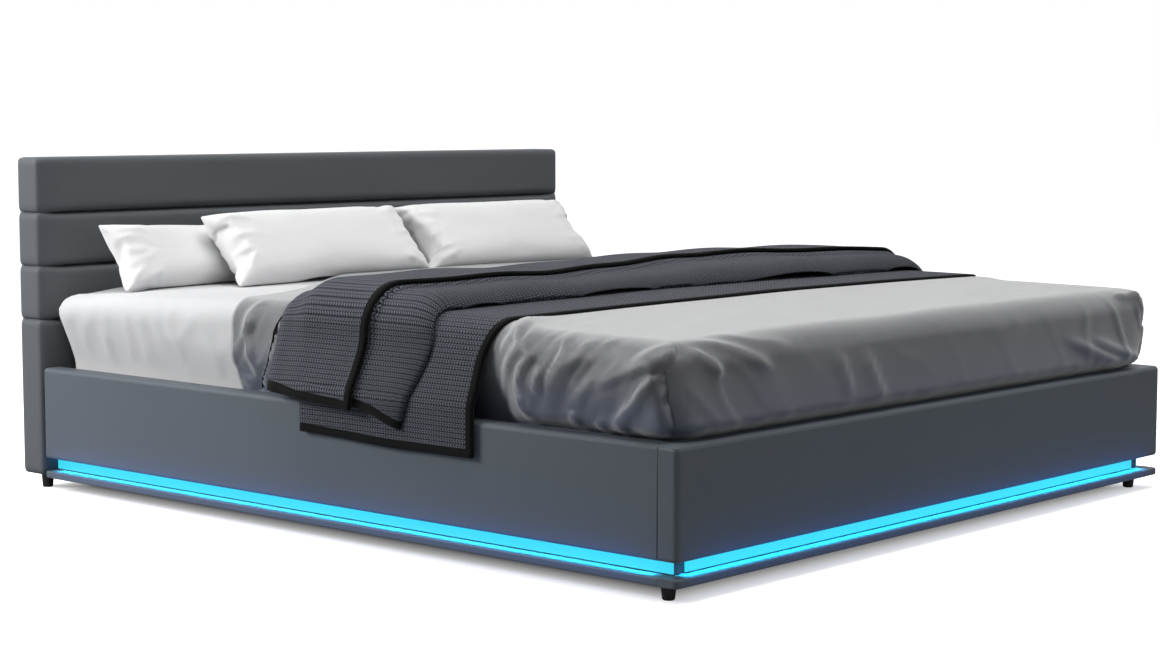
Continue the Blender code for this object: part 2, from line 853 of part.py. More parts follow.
def eye_shape(sign, pivot):
    """The flat ring at a strut's end."""
    half = strut_eye_thickness / 2
    first = at_depth(sign, strut_depth - half, pivot)
    last = at_depth(sign, strut_depth + half, pivot)
    return bar(first, last, strut_eye_radius, 16)


def make_strut(side, sign):
    """Gas cylinder on the bracket, and the rod on the link's lobe, slid into it."""
    mouth = strut_length() - strut_free_end
    eye_holes = (strut_depth - strut_eye_thickness / 2, strut_depth + strut_eye_thickness / 2)
    body_start = strut_neck
    shapes = [
        bar(strut_point(sign, body_start), strut_point(sign, mouth), cylinder_radius, 20),
        bar(
            strut_point(sign, 0),
            strut_point(sign, body_start + cylinder_cap / 2),
            strut_neck_radius,
            12,
        ),
        eye_shape(sign, strut_root),
    ]
    cylinder = join_all(f"gas_cylinder_{side}", shapes, "steel_paint", smooth=True)
    bore = bar(
        strut_point(sign, body_start + cylinder_cap),
        strut_point(sign, mouth + overrun),
        cylinder_radius - cylinder_wall,
        20,
    )
    combine(cylinder, cutter(f"gas_bore_{side}", bore), "DIFFERENCE")
    drill(cylinder, sign, strut_root, eye_holes, small_pin_radius + pin_play)
    length = strut_length()
    inner_end = body_start + cylinder_cap + rod_end_gap
    shapes = [
        bar(strut_point(sign, inner_end), strut_point(sign, length - strut_neck), rod_radius, 12),
        bar(
            strut_point(sign, length - strut_neck - rod_radius),
            strut_point(sign, length),
            strut_neck_radius,
            12,
        ),
        eye_shape(sign, strut_tip),
    ]
    rod = join_all(f"gas_rod_{side}", shapes, "chrome", smooth=True)
    drill(rod, sign, strut_tip, eye_holes, small_pin_radius + pin_play)
    return cylinder, rod


def make_platform_bracket(side, sign):
    """The plate on the platform's side tube, with the pins of the arm and the link."""
    margin = tip_plate_margin
    high_z = frame_top - fit
    corners = [
        ((link_tip[0] - margin, high_z), margin / 4),
        ((link_tip[0] - margin, link_tip[1] - margin / 2), margin / 2),
        ((link_tip[0] + margin / 2, link_tip[1] - margin), margin / 2),
        ((arm_tip[0] + margin, arm_tip[1] - margin), margin / 2),
        ((arm_tip[0] + margin, high_z), margin / 4),
    ]
    low, high = inward_span(sign, tip_depth)
    shapes = [prism(rounded(corners, 3), "X", low, high)]
    inside = (tip_depth[0] + tip_depth[1]) / 2
    collar = (arm_depth[1] + pin_play, inside, pin_head_radius - pin_radius / 3)
    shapes += pin_shapes(sign, arm_tip, arm_depth[0], inside, pin_radius, collar)
    shapes += pin_shapes(sign, link_tip, link_depth[0] + pin_play, inside, small_pin_radius)
    return join_all(f"platform_bracket_{side}", shapes, "steel_paint")


def make_platform_frame():
    """Welded tube frame: two sides, two ends, a middle tube and two lower cross tubes."""
    outer = tube_outer_x
    start = mattress_foot_y + frame_end_gap
    end = mattress_head_y - frame_end_gap
    inner_start = start + tube_width
    inner_end = end - tube_width
    run = inner_end - inner_start
    half = tube_width / 2
    frame = block((-outer, start, frame_bottom), (outer, end, frame_top))
    obj = piece("platform_frame", frame, "steel_paint")
    for side in SIDES:
        sign = sign_of(side)
        xs = sorted((sign * half, sign * (outer - tube_width)))
        marks = [inner_start]
        for share in cross_tube_shares:
            middle = inner_start + run * share
            marks += [middle - half, middle + half]
        marks.append(inner_end)
        window = block(
            (xs[0], inner_start, frame_bottom - overrun), (xs[1], inner_end, frame_top + overrun)
        )
        shapes = [window]
        for low_y, high_y in zip(marks[1::2], marks[2::2]):
            tube = block(
                (xs[0] - overrun, low_y, frame_bottom - 2 * overrun),
                (xs[1] + overrun, high_y, frame_bottom + cross_tube_height),
            )
            shapes.append(tube)
        opening = cutter(f"frame_window_{side}", shapes[0])
        for i, tube in enumerate(shapes[1:]):
            combine(opening, cutter(f"cross_tube_{side}_{i}", tube), "DIFFERENCE")
        combine(obj, opening, "DIFFERENCE")
    return obj, inner_start, inner_end


def make_slats(inner_start, inner_end):
    """Two rows of bowed slats, each row held at both ends by a continuous holder strip."""
    pitch = (inner_end - inner_start) / slat_count
    rows = []
    for side in SIDES:
        sign = sign_of(side)
        outer_x = sign * (tube_outer_x - tube_width - fit)
        inner_edge = sign * (tube_width / 2 + fit)
        strip_high = frame_top - slat_strip_drop
        strip_low = strip_high - slat_strip_height
        strips = []
        for place, way in ((outer_x, -sign), (inner_edge, sign)):
            xs = sorted((place, place + way * slat_strip_width))
            strips.append(
                block(
                    (xs[0], inner_start + slat_strip_margin, strip_low),
                    (xs[1], inner_end - slat_strip_margin, strip_high),
                )
            )
        row = bmesh.new()
        first = inner_edge + sign * slat_strip_width / 2
        last = outer_x - sign * slat_strip_width / 2
        slat_low = (strip_low + strip_high - slat_thickness) / 2
        steps = 6
        for i in range(slat_count):
            lower = []
            upper = []
            for k in range(steps + 1):
                share = k / steps
                x = first + (last - first) * share
                rise = slat_bow * 4 * share * (1 - share)
                lower.append((x, slat_low + rise))
                upper.append((x, slat_low + slat_thickness + rise))
            middle = inner_start + pitch * (i + 0.5)
            slat = prism(
                lower + upper[::-1], "Y", middle - slat_width / 2, middle + slat_width / 2
            )
            spare = bpy.data.meshes.new(f"slat_{side}_{i}")
            slat.to_mesh(spare)
            slat.free()
            row.from_mesh(spare)
            bpy.data.meshes.remove(spare)
        obj = piece(f"slats_{side}", row, "birch")
        for i, strip in enumerate(strips):
            combine(obj, cutter(f"slat_strip_{side}_{i}", strip), "UNION")
        rows.append(obj)
    return rows


def spread(low, high, radius, count):
    """Stations from low to high: two in each rounded edge, and an even grid between."""
    inner = [low + radius + (high - low - 2 * radius) * i / count for i in range(count + 1)]
    return [low, low + radius / 2] + inner + [high - radius / 2, high]


def crown_at(x, y):
    """How far the top of the bedding stands over the mattress's corners."""
    across = min(1, abs(x) / (mattress_width / 2)) ** 2
    middle = (mattress_foot_y + mattress_head_y) / 2
    along = min(1, abs(y - middle) / (mattress_length / 2)) ** 2
    return mattress_crown * (1 - (across + along) / 2)


def crown_lift(x, y, z):
    """The crown as it fades down the sides."""
    height = (z - mattress_bottom) / mattress_height
    return crown_at(x, y) * max(0, min(1, 2 * height - 1))


def round_and_crown(bm, low, high, radius, bottom_too):
    """Rounds a gridded block's outer edges and lifts its top into a crown."""
    for vert in bm.verts:
        core = Vector(min(max(vert.co[i], low[i] + radius), high[i] - radius) for i in range(3))
        if not bottom_too:
            core.z = min(vert.co.z, high[2] - radius)
        outward = vert.co - core
        if outward.length > weld_reach:
            vert.co = core + outward.normalized() * radius
        vert.co.z += crown_lift(*vert.co)
        vert.co.x *= 1 - mattress_side_bulge * (1 - bulge_at(vert.co.z)) / high[0]


def bulge_at(z):
    """Share of the sides' bulge: none within the rails, all of it a little above them."""
    return smooth_step((z - rail_top) / mattress_bulge_rise)


def skin_corners(gap):
    """Low and high corners of the mattress grown by a gap."""
    side = mattress_width / 2 + mattress_side_bulge + gap
    low = (-side, mattress_foot_y - gap, mattress_bottom - gap)
    high = (side, mattress_head_y + gap, mattress_top + gap)
    return low, high


def side_levels(gap, radius):
    """Levels that the bedding's layers share, from the rails' top to the top of the bed."""
    high = mattress_top + gap
    bulge = [rail_top + mattress_bulge_rise * share for share in bulge_shares]
    return bulge + [high - radius, high - radius / 2, high]


def make_mattress():
    radius = mattress_edge_radius
    low, high = skin_corners(0)
    zs = [low[2], low[2] + radius / 2, low[2] + radius] + side_levels(0, radius)
    bm = station_block(spread(low[0], high[0], radius, 6), spread(low[1], high[1], radius, 6), zs)
    round_and_crown(bm, low, high, radius, True)
    return piece("mattress", bm, "ticking", smooth=True)


def thicken(obj, thickness):
    """Gives a skin its thickness, outwards."""
    wall = obj.modifiers.new("thickness", "SOLIDIFY")
    wall.thickness = thickness
    wall.offset = 1
    wall.use_even_offset = True
    wall.use_rim = True


def make_fitted_sheet():
    """The white sheet drawn over the mattress, open underneath."""
    gap = sheet_gap
    radius = mattress_edge_radius + gap
    low, high = skin_corners(gap)
    hem = rail_top - sheet_tuck
    zs = [hem] + side_levels(gap, radius)
    bm = station_block(
        spread(low[0], high[0], radius, 6), spread(low[1], high[1], radius, 6), zs
    )
    open_faces = [f for f in bm.faces if all(v.co.z < hem + weld_reach for v in f.verts)]
    bmesh.ops.delete(bm, geom=open_faces, context="FACES")
    round_and_crown(bm, low, high, radius, False)
    obj = piece("fitted_sheet", bm, "white_cotton", smooth=True)
    thicken(obj, sheet_thickness)
    return obj


def duvet_head_y(x):
    """Where the duvet's head edge lies: it sweeps from the left side up towards the pillows."""
    share = smooth_step((x + mattress_width / 2) / duvet_sweep)
    return y_head - duvet_head_left + (duvet_head_left - duvet_head_right) * share


def make_duvet():
    """The grey cover over the bed, tucked in between the mattress and the rails."""
    gap = sheet_gap + sheet_thickness + duvet_gap
    radius = mattress_edge_radius + gap
    low, high = skin_corners(gap)
    hem = rail_top - duvet_tuck
    zs = [hem] + side_levels(gap, radius)
    ys = spread(low[1], high[1], radius, 6)[:-2]
    bm = station_block(spread(low[0], high[0], radius, 6), ys, zs)
    head = ys[-1]
    open_faces = []
    for face in bm.faces:
        below = all(vert.co.z < hem + weld_reach for vert in face.verts)
        behind = all(vert.co.y > head - weld_reach for vert in face.verts)
        if below or behind:
            open_faces.append(face)
    bmesh.ops.delete(bm, geom=open_faces, context="FACES")
    fixed = ys[5]
    for vert in bm.verts:
        if vert.co.y > fixed:
            share = (vert.co.y - fixed) / (head - fixed)
            vert.co.y = fixed + (duvet_head_y(vert.co.x) - fixed) * share
    round_and_crown(bm, low, high, radius, False)
    obj = piece("duvet", bm, "grey_satin", smooth=True)
    thicken(obj, duvet_thickness)
    return obj


def throw_path(hem):
    """Stretches of the throw's way across the bed, from its middle to one hem, with their lengths."""
    gap = sheet_gap + sheet_thickness + duvet_gap + duvet_thickness + throw_gap
    radius = mattress_edge_radius + gap
    flat = mattress_width / 2 + mattress_side_bulge + gap - radius
    reach = half_width + throw_hang_gap
    bend = throw_bend_radius
    slant = throw_slant
    slope = reach - flat - radius * math.sin(slant) - bend * (1 - math.sin(slant))
    slope /= math.cos(slant)
    top = mattress_top + gap
    knee = top - radius * (1 - math.cos(slant)) - slope * math.sin(slant)
    foot = knee - bend * math.cos(slant)
    lengths = [flat, radius * slant, slope, bend * (math.pi / 2 - slant), foot - hem]
    return lengths, (flat, top, radius, slant, slope, bend)


def throw_line(line, x):
    """Y of the throw's lines: 0 head edge, 1 upper layer's edge, 2 roll, 3 foot edge."""
    share = smooth_step((x + mattress_width / 2) / mattress_width)
    lefts = (throw_head_left, throw_upper_left, throw_roll_left, throw_foot)
    rights = (throw_head_right, throw_upper_right, throw_roll_right, throw_foot)
    return y_head - lefts[line] - (rights[line] - lefts[line]) * share


def throw_loft(place):
    """Height of the folded pile along the throw, place running from 0 to 3 over its lines."""
    layer = throw_layer
    crest = throw_crest
    lofts = (
        layer, 2 * layer, crest, crest - layer, crest - layer, crest - 2 * layer, 2 * layer, layer, layer
    )
    marks = list(zip(throw_mark_shares, lofts))
    for (start, first), (end, last) in zip(marks, marks[1:]):
        if place <= end:
            return first + (last - first) * (place - start) / (end - start)
    return layer


def throw_point(station, place, lift):
    """A point of the throw: station in stretches across, place in lines along, lift 0 under, 1 over."""
    sign = -1 if station < 0 else 1
    station = abs(station)
    index = min(int(station), 4)
    inside = station - index
    flat_x = sign * min(station, 1) * mattress_width / 2
    line = min(int(place), 2)
    first, last = throw_line(line, flat_x), throw_line(line + 1, flat_x)
    y = first + (last - first) * (place - line)
    hem = throw_short_hem if place <= 1 else throw_long_hem
    lengths, (flat, top, radius, slant, slope, bend) = throw_path(hem)
    travelled = lengths[index] * inside
    x, z, angle = flat, top, 0
    if index == 0:
        x = travelled
        z = top
    elif index == 1:
        angle = travelled / radius
        x = flat + radius * math.sin(angle)
        z = top - radius * (1 - math.cos(angle))
    else:
        x = flat + radius * math.sin(slant)
        z = top - radius * (1 - math.cos(slant))
        along = travelled if index == 2 else slope
        x += along * math.cos(slant)
        z -= along * math.sin(slant)
        angle = slant
        if index > 2:
            angle = slant + travelled / bend if index == 3 else math.pi / 2
            x += bend * (math.sin(angle) - math.sin(slant))
            z -= bend * (math.cos(slant) - math.cos(angle))
        if index == 4:
            z -= travelled
    z += crown_lift(x, y, z)
    loft = throw_loft(place)
    hang = min(1, max(0, station - 1) / 2)
    loft = loft + ((loft - throw_layer) * throw_hang_loft_share + throw_layer - loft) * hang
    return Vector(
        (sign * (x + lift * loft * math.sin(angle)), y, z + lift * loft * math.cos(angle))
    )


def make_throw():
    """The folded knitted throw across the bed, its ends hanging over both rails."""
    turns = (math.atan2(1, 2), math.atan2(1, 1), math.atan2(2, 1))
    across = [1 / 4, 1 / 2, 3 / 4, 1] + [1 + turn / throw_slant for turn in turns] + [2, 5 / 2, 3, 4, 5]
    stations = [-value for value in across[::-1]] + [0] + across
    places = sorted(throw_mark_shares + throw_grid_shares)
    bm = station_block(stations, places, (0, 1))
    for vert in bm.verts:
        vert.co = throw_point(vert.co.x, vert.co.y, vert.co.z)
    return piece("throw", bm, "dark_knit", smooth=True)


# Each pillow's inner edge from the bed's middle, its lower and upper edges' distances from the headboard,
# the upper edge's height over the sheet, and its thickness.
pillows = {
    "pillow_front_left": (0.040, 0.365, 0.200, 0.190, 0.110),
    "pillow_front_right": (0.055, 0.365, 0.200, 0.190, 0.110),
    "pillow_back_left": (-0.200, 0.212, 0.100, 0.170, 0.095),
    "pillow_back_right": (0.220, 0.208, 0.055, 0.105, 0.100),
}


def bed_surface(x, y):
    """Height of the covers that a pillow rests on: the duvet's head edge lies under some of them."""
    gap = sheet_gap + sheet_thickness + pillow_gap
    step = duvet_gap + duvet_thickness
    past = y - duvet_head_y(x) - pillow_over_edge
    return mattress_top + gap + step * (1 - smooth_step(past / pillow_over_edge)) + crown_at(x, y)


def make_pillow(name, inner_edge, lower_from_head, upper_from_head, upper_rise, thickness):
    """A crowned pillow that leans back: pointed corners, sides drawn in between them."""
    cells_u, cells_v = 10, 6
    middle_x = inner_edge + sign_of(name.split("_")[-1]) * pillow_width / 2
    us = [-1 + 2 * i / cells_u for i in range(cells_u + 1)]
    vs = [-1 + 2 * i / cells_v for i in range(cells_v + 1)]
    bm = station_block(us, vs, (-1, 1))
    base = mattress_top + sheet_gap + sheet_thickness
    low = Vector((0, y_head - lower_from_head, base + pillow_seam / 2))
    high = Vector((0, y_head - upper_from_head, base + upper_rise))
    up = (high - low) / 2
    face = Vector((0, -up.z, up.y)).normalized()
    middle = (low + high) / 2
    for vert in bm.verts:
        u, v, w = vert.co
        puff = (1 - abs(u) ** 3) * (1 - abs(v) ** 3)
        swell = pillow_seam / 2 + (thickness - pillow_seam) / 2 * puff ** pillow_puff_share
        draw_u = 1 - pillow_side_draw_share * (1 - v * v)
        draw_v = 1 - pillow_end_draw_share * (1 - u * u) ** 2
        spot = middle + up * v * draw_v + face * w * swell
        spot.x = middle_x + u * draw_u * pillow_width / 2
        spot.z = max(spot.z, bed_surface(spot.x, spot.y) + (1 + w) * pillow_seam / 4)
        vert.co = spot
    return piece(name, bm, "white_cotton", smooth=True)


def parent_to(pivot, parts, name, parent=None):
    """An empty on a joint's axis, which its pieces and the next joint follow."""
    empty = bpy.data.objects.new(name, None)
    bpy.context.scene.collection.objects.link(empty)
    empty.location = pivot
    if parent:
        empty.parent = parent
        empty.location = Vector(pivot) - parent_place(parent)
    for part in parts:
        part.data.transform(Matrix.Translation(-Vector(pivot)))
        part.parent = empty
        for change in part.modifiers:
            if change.type == "BOOLEAN":
                change.object.location = (0, 0, 0)
    return empty


def parent_place(obj):
    """Where an unturned chain of empties has put this one."""
    place = Vector(obj.location)
    while obj.parent:
        obj = obj.parent
        place += Vector(obj.location)
    return place


def main():
    for obj in list(bpy.data.objects):
        bpy.data.objects.remove(obj, do_unlink=True)
    make_headboard()
    make_side_rails()
    make_foot_rail()
    make_plinth()
    make_feet_and_beam()
    make_storage_floor()
    make_fixings()
    make_controller()
    arms, links, cylinders, rods, riding = [], [], [], [], []
    for side in SIDES:
        sign = sign_of(side)
        make_lift_bracket(side, sign)
        arms.append(make_lift_arm(side, sign))
        links.append(make_lift_link(side, sign))
        cylinder, rod = make_strut(side, sign)
        cylinders.append(cylinder)
        rods.append(rod)
        riding.append(make_platform_bracket(side, sign))
    frame, inner_start, inner_end = make_platform_frame()
    riding.append(frame)
    riding += make_slats(inner_start, inner_end)
    riding += [make_mattress(), make_fitted_sheet(), make_duvet(), make_throw()]
    for name, values in pillows.items():
        riding.append(make_pillow(name, *values))
    arm_axis = parent_to((0, *arm_root), arms, "arm_axis")
    parent_to((0, *arm_tip), riding, "platform_axis", arm_axis)
    link_axis = parent_to((0, *link_root), links, "link_axis")
    parent_to((0, *strut_root), cylinders, "cylinder_axis")
    parent_to((0, *strut_tip), rods, "rod_axis", link_axis)


main()
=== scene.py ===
import math

import bmesh
import bpy
import numpy as np
from bpy.props import FloatProperty, FloatVectorProperty, IntProperty, PointerProperty
from mathutils import Matrix, Vector, noise


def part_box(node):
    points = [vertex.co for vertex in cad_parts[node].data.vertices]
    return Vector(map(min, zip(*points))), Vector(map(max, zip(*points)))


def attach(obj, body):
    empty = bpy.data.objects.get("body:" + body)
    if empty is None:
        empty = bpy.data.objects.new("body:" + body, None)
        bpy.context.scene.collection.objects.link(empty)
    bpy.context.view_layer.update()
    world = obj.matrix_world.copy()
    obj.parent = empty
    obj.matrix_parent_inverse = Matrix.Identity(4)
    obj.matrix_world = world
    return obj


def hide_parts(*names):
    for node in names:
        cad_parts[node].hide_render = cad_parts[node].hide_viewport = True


bl_info = {
    "name": "Leather bed with lit plinth",
    "version": (1, 0, 0),
    "blender": (4, 5, 0),
    "location": "3D View > Sidebar > Bed",
    "description": "Upholstery, bedding, light and studio for a lifting leather bed",
    "category": "Object",
}

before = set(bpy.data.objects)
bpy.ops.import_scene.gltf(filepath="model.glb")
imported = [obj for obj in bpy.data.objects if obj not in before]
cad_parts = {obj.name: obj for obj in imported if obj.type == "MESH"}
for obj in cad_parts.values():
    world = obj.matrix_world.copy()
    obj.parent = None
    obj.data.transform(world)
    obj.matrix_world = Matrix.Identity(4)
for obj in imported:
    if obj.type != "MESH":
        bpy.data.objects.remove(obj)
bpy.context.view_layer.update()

SIDES = ("left", "right")
ALL_ROUND = ("left", "right", "foot", "head")

# Sizes that the bedding shares with the solids under it, in metres
HALF_BED = 0.922
HALF_BASE = 0.900
MATTRESS_BOTTOM = 0.2623
MATTRESS_TOP = 0.5073
MATTRESS_HEAD = 0.979
MATTRESS_FOOT = -1.021
EDGE_RADIUS = 0.045
CROWN = 0.014
RAIL_TOP = 0.3146
BULGE_RISE = 0.100
HEADBOARD_FRONT = 0.989

# The mattress's corners at the head sink, from these places outwards
HEAD_CORNER_SINK = 0.012
SINK_FROM_X = 0.72
SINK_FROM_Y = 0.70

# How far each cloth lies off the mattress, and the sheet's thickness
SHEET_OFFSET = 0.0005
DUVET_OFFSET = 0.0025
THROW_OFFSET = 0.0101
SHEET_THICK = 0.0015
SHEET_TOP = MATTRESS_TOP + SHEET_OFFSET + SHEET_THICK

# A fold ends where the cloth is this far from its line, square to the cloth
FOLD_DEPTH = 0.06
FAR_AWAY = 9


# User settings


def colour_setting(name, description, default):
    return FloatVectorProperty(
        name=name, description=description, subtype="COLOR", size=3, min=0, max=1, default=default
    )


def length_setting(name, description, default):
    return FloatProperty(
        name=name, description=description, default=default, min=0, unit="LENGTH", subtype="DISTANCE"
    )


class BedColours(bpy.types.PropertyGroup):
    leather: colour_setting("Leather", "Colour of the rails and the headboard", (0.100, 0.108, 0.116))
    linen: colour_setting("Linen", "Colour of the fitted sheet", (0.560, 0.563, 0.570))
    pillow: colour_setting("Pillow", "Colour of the pillowcases", (0.79, 0.79, 0.795))
    satin: colour_setting("Satin", "Colour of the duvet", (0.118, 0.121, 0.128))
    yarn: colour_setting("Yarn", "Colour of the knitted throw", (0.056, 0.060, 0.073))
    binding: colour_setting("Binding", "Colour of the throw's bound edges", (0.005, 0.005, 0.005))
    light: colour_setting("Light", "Colour of the lit strip", (0.032, 0.66, 0.86))
    ticking: colour_setting("Ticking", "Colour of the mattress cover", (0.72, 0.72, 0.70))
    birch: colour_setting("Birch", "Colour of the slats and ledges", (0.58, 0.41, 0.23))
    board: colour_setting("Board", "Colour of the particle board", (0.38, 0.27, 0.16))
    steel: colour_setting("Steel", "Colour of the painted steel", (0.016, 0.016, 0.018))


class BedSizes(bpy.types.PropertyGroup):
    duvet: length_setting("Duvet thickness", "Thickness of the duvet's cloth", 0.007)
    sheet: length_setting("Sheet thickness", "Thickness of the fitted sheet", SHEET_THICK)
    throw: length_setting("Throw thickness", "Thickness of one layer of the throw", 0.0075)
    binding: length_setting("Binding width", "Width of the throw's bound edges", 0.019)
    stitch: length_setting("Stitch size", "Width of one knitted stitch", 0.0108)
    fold: length_setting("Fold height", "How far the duvet's folds stand up", 0.015)
    pillow_cell: length_setting("Pillow cell", "Cell size of the pillows' cloth", 0.0095)
    pillow_pressure: FloatProperty(name="Pillow pressure", description="Stuffing of the pillows", default=3)
    glow: FloatProperty(name="Glow", description="Strength of the lit strip", default=1.0, min=0)
    frames: IntProperty(name="Cloth frames", description="Frames that the cloth settles for", default=20)


# Making pieces


def finished(name, bm, looks, body, smooth=True):
    """A piece at the origin, its place in its mesh, riding on a body of the frame."""
    mesh = bpy.data.meshes.new(name)
    bm.to_mesh(mesh)
    bm.free()
    if smooth:
        mesh.shade_smooth()
    for look in looks:
        mesh.materials.append(look)
    piece = bpy.data.objects.new(name, mesh)
    bpy.context.scene.collection.objects.link(piece)
    if body:
        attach(piece, body)
    return piece


def give_thickness(piece, thickness):
    """Thickens a skin outwards."""
    wall = piece.modifiers.new("thickness", "SOLIDIFY")
    wall.thickness = thickness
    wall.offset = 1
    wall.use_even_offset = False
    wall.use_rim = True


def bevelled(bm, edges, offset, segments):
    bmesh.ops.bevel(
        bm, geom=edges, offset=offset, affect="EDGES", segments=segments, profile=0.5, material=-1
    )


def smooth_share(value):
    """From 0 to 1 with a soft start and a soft end."""
    value = np.clip(value, 0, 1)
    return value * value * (3 - 2 * value)


def swell_about(value, middle, width):
    """1 at the middle, fading to both sides."""
    return np.exp(-(((value - middle) / width) ** 2))


def noise_at(points, scale, seed):
    """Soft noise from -1 to 1 over the points, its grain given in waves a metre along each axis."""
    return np.array(
        [noise.noise(Vector((p[0] * scale[0], p[1] * scale[1], p[2] * scale[2] + seed))) for p in points]
    )


def ridged_at(points, scale, seed, sharpness):
    """Noise drawn out into separate ridges from 0 to 1."""
    return np.maximum(0, 1 - np.abs(noise_at(points, scale, seed)) * sharpness) ** 2


def box_skin(low, high, cells, sides, crowd=0.0, crowd_foot=0.0):
    """The top and the named sides of a box as one net, cut at its corners and sewn, with a flat UV map.

    Its cells are narrower towards the sides by the share crowd, and towards the foot by crowd_foot.
    """
    across, along, down = cells
    left = down if "left" in sides else 0
    right = down if "right" in sides else 0
    foot = down if "foot" in sides else 0
    head = down if "head" in sides else 0
    columns = left + across + right
    rows = foot + along + head
    bm = bmesh.new()
    bmesh.ops.create_grid(bm, x_segments=columns, y_segments=rows, size=0.5)
    bm.verts.ensure_lookup_table()
    flat = {}
    gone = []
    depth = high[2] - low[2]
    for vert in bm.verts:
        i = round((vert.co.x + 0.5) * columns)
        j = round((vert.co.y + 0.5) * rows)
        out_x = max(left - i, i - left - across, 0)
        out_y = max(foot - j, j - foot - along, 0)
        if out_x and out_y:
            gone.append(vert)
            continue
        share_x = min(max((i - left) / across, 0), 1)
        share_y = min(max((j - foot) / along, 0), 1)
        share_x -= crowd * math.sin(2 * math.pi * share_x) / (2 * math.pi)
        share_y += crowd_foot * (share_y * share_y - share_y)
        x = low[0] + (high[0] - low[0]) * share_x
        y = low[1] + (high[1] - low[1]) * share_y
        drop_x, drop_y = depth * out_x / down, depth * out_y / down
        vert.co = (x, y, high[2] - drop_x - drop_y)
        way_x = -1 if i < left else 1
        way_y = -1 if j < foot else 1
        flat[vert] = (x + way_x * drop_x, y + way_y * drop_y)
    bmesh.ops.delete(bm, geom=gone, context="VERTS")
    layer = bm.loops.layers.uv.new("cloth")
    for face in bm.faces:
        for loop in face.loops:
            loop[layer].uv = flat[loop.vert]
    bmesh.ops.remove_doubles(bm, verts=bm.verts[:], dist=0.0001)
    return bm


def read_points(bm):
    return np.array([vert.co for vert in bm.verts])


def write_points(bm, points):
    for vert, point in zip(bm.verts, points):
        vert.co = point


def round_box(points, low, high, radius, open_head=False, closed_bottom=False):
    """Rounds the net's edges. Gives the points and their outward directions."""
    core = points.copy()
    core[:, 0] = np.clip(points[:, 0], low[0] + radius, high[0] - radius)
    core[:, 1] = np.clip(points[:, 1], low[1] + radius, high[1] if open_head else high[1] - radius)
    core[:, 2] = np.minimum(points[:, 2], high[2] - radius)
    if closed_bottom:
        core[:, 2] = np.maximum(core[:, 2], low[2] + radius)
    out = points - core
    length = np.linalg.norm(out, axis=1)
    length[length < 1e-6] = 1e-6
    out = out / length[:, None]
    return core + out * radius, out


def upper_half(z):
    """From 0 at half of the mattress's height to 1 at its top."""
    rise = (z - MATTRESS_BOTTOM) / (MATTRESS_TOP - MATTRESS_BOTTOM)
    return np.clip(2 * rise - 1, 0, 1)


def crown_at(x, y):
    """How far the mattress's top swells over its edges."""
    across = np.minimum(1, np.abs(x) / HALF_BASE) ** 2
    middle = (MATTRESS_FOOT + MATTRESS_HEAD) / 2
    along = np.minimum(1, np.abs(y - middle) / ((MATTRESS_HEAD - MATTRESS_FOOT) / 2)) ** 2
    return CROWN * (1 - (across + along) / 2)


def settle(points, side):
    """The mattress's crown, its sunk corners at the head and the bulge of its sides over the rails."""
    x, y, z = points.T
    upper = upper_half(z)
    z = z + crown_at(x, y) * upper
    head_corner = smooth_share((np.abs(x) - SINK_FROM_X) / 0.20) * smooth_share((y - SINK_FROM_Y) / 0.25)
    z = z - HEAD_CORNER_SINK * head_corner * upper
    bulge = smooth_share((z - RAIL_TOP) / BULGE_RISE)
    x = x * (1 - (HALF_BED - HALF_BASE) * (1 - bulge) / side)
    return np.stack([x, y, z], 1)


def crease(points, out, line, height, width):
    """A ridge along a line of points, measured along the cloth, that fades at both ends."""
    best = np.full(len(points), 1e9)
    share = np.zeros(len(points))
    line = [np.array(p, float) for p in line]
    lengths = [np.linalg.norm(b - a) for a, b in zip(line, line[1:])]
    total, done = sum(lengths), 0
    for a, b, length in zip(line, line[1:], lengths):
        along = b - a
        t = np.clip((points - a) @ along / (length * length), 0, 1)
        away = points - (a + t[:, None] * along)
        normal = (away * out).sum(1)
        other_side = (np.abs(normal) > FOLD_DEPTH) * FAR_AWAY
        distance = np.maximum((away * away).sum(1) - normal * normal, 0) + other_side
        nearer = distance < best
        best = np.where(nearer, distance, best)
        share = np.where(nearer, (done + t * length) / total, share)
        done += length
    fade = smooth_share(share / 0.3) * smooth_share((1 - share) / 0.3)
    fade = 0.1 + 0.9 * fade
    near = np.sqrt(best / (width * width) + 0.03)
    return height * fade * np.exp(-1.25 * near)


# Finishes


def connect(tree, node, inputs):
    """Links or sets a node's inputs, by name or number."""
    for name, value in inputs.items():
        if isinstance(value, bpy.types.NodeSocket):
            tree.links.new(value, node.inputs[name])
        else:
            node.inputs[name].default_value = value


def add(tree, kind, inputs, **settings):
    """A node with its settings and its inputs. Gives its outputs."""
    made = tree.nodes.new(kind)
    for name, value in settings.items():
        setattr(made, name, value)
    connect(tree, made, inputs)
    return made.outputs


def maths(tree, operation, *values):
    return add(tree, "ShaderNodeMath", dict(enumerate(values)), operation=operation)[0]


def clouds(tree, vector, scale, detail=2):
    """Soft noise around one half."""
    inputs = {"Vector": vector, "Scale": scale, "Detail": detail}
    return add(tree, "ShaderNodeTexNoise", inputs)["Fac"]


def drawn_out(tree, vector, scale):
    """Coordinates with their own scale along each axis."""
    return add(tree, "ShaderNodeMapping", {"Vector": vector, "Scale": scale})[0]


def axes(tree, vector):
    return add(tree, "ShaderNodeSeparateXYZ", {0: vector})


def toned(tree, colour, tone):
    """A colour times a tone."""
    return add(tree, "ShaderNodeVectorMath", {0: colour, "Scale": tone}, operation="SCALE")[0]


def ramp(tree, value, start, end, low, high):
    """A value between start and end, brought between low and high."""
    return add(tree, "ShaderNodeMapRange", {"Value": value, 1: start, 2: end, 3: low, 4: high})[0]


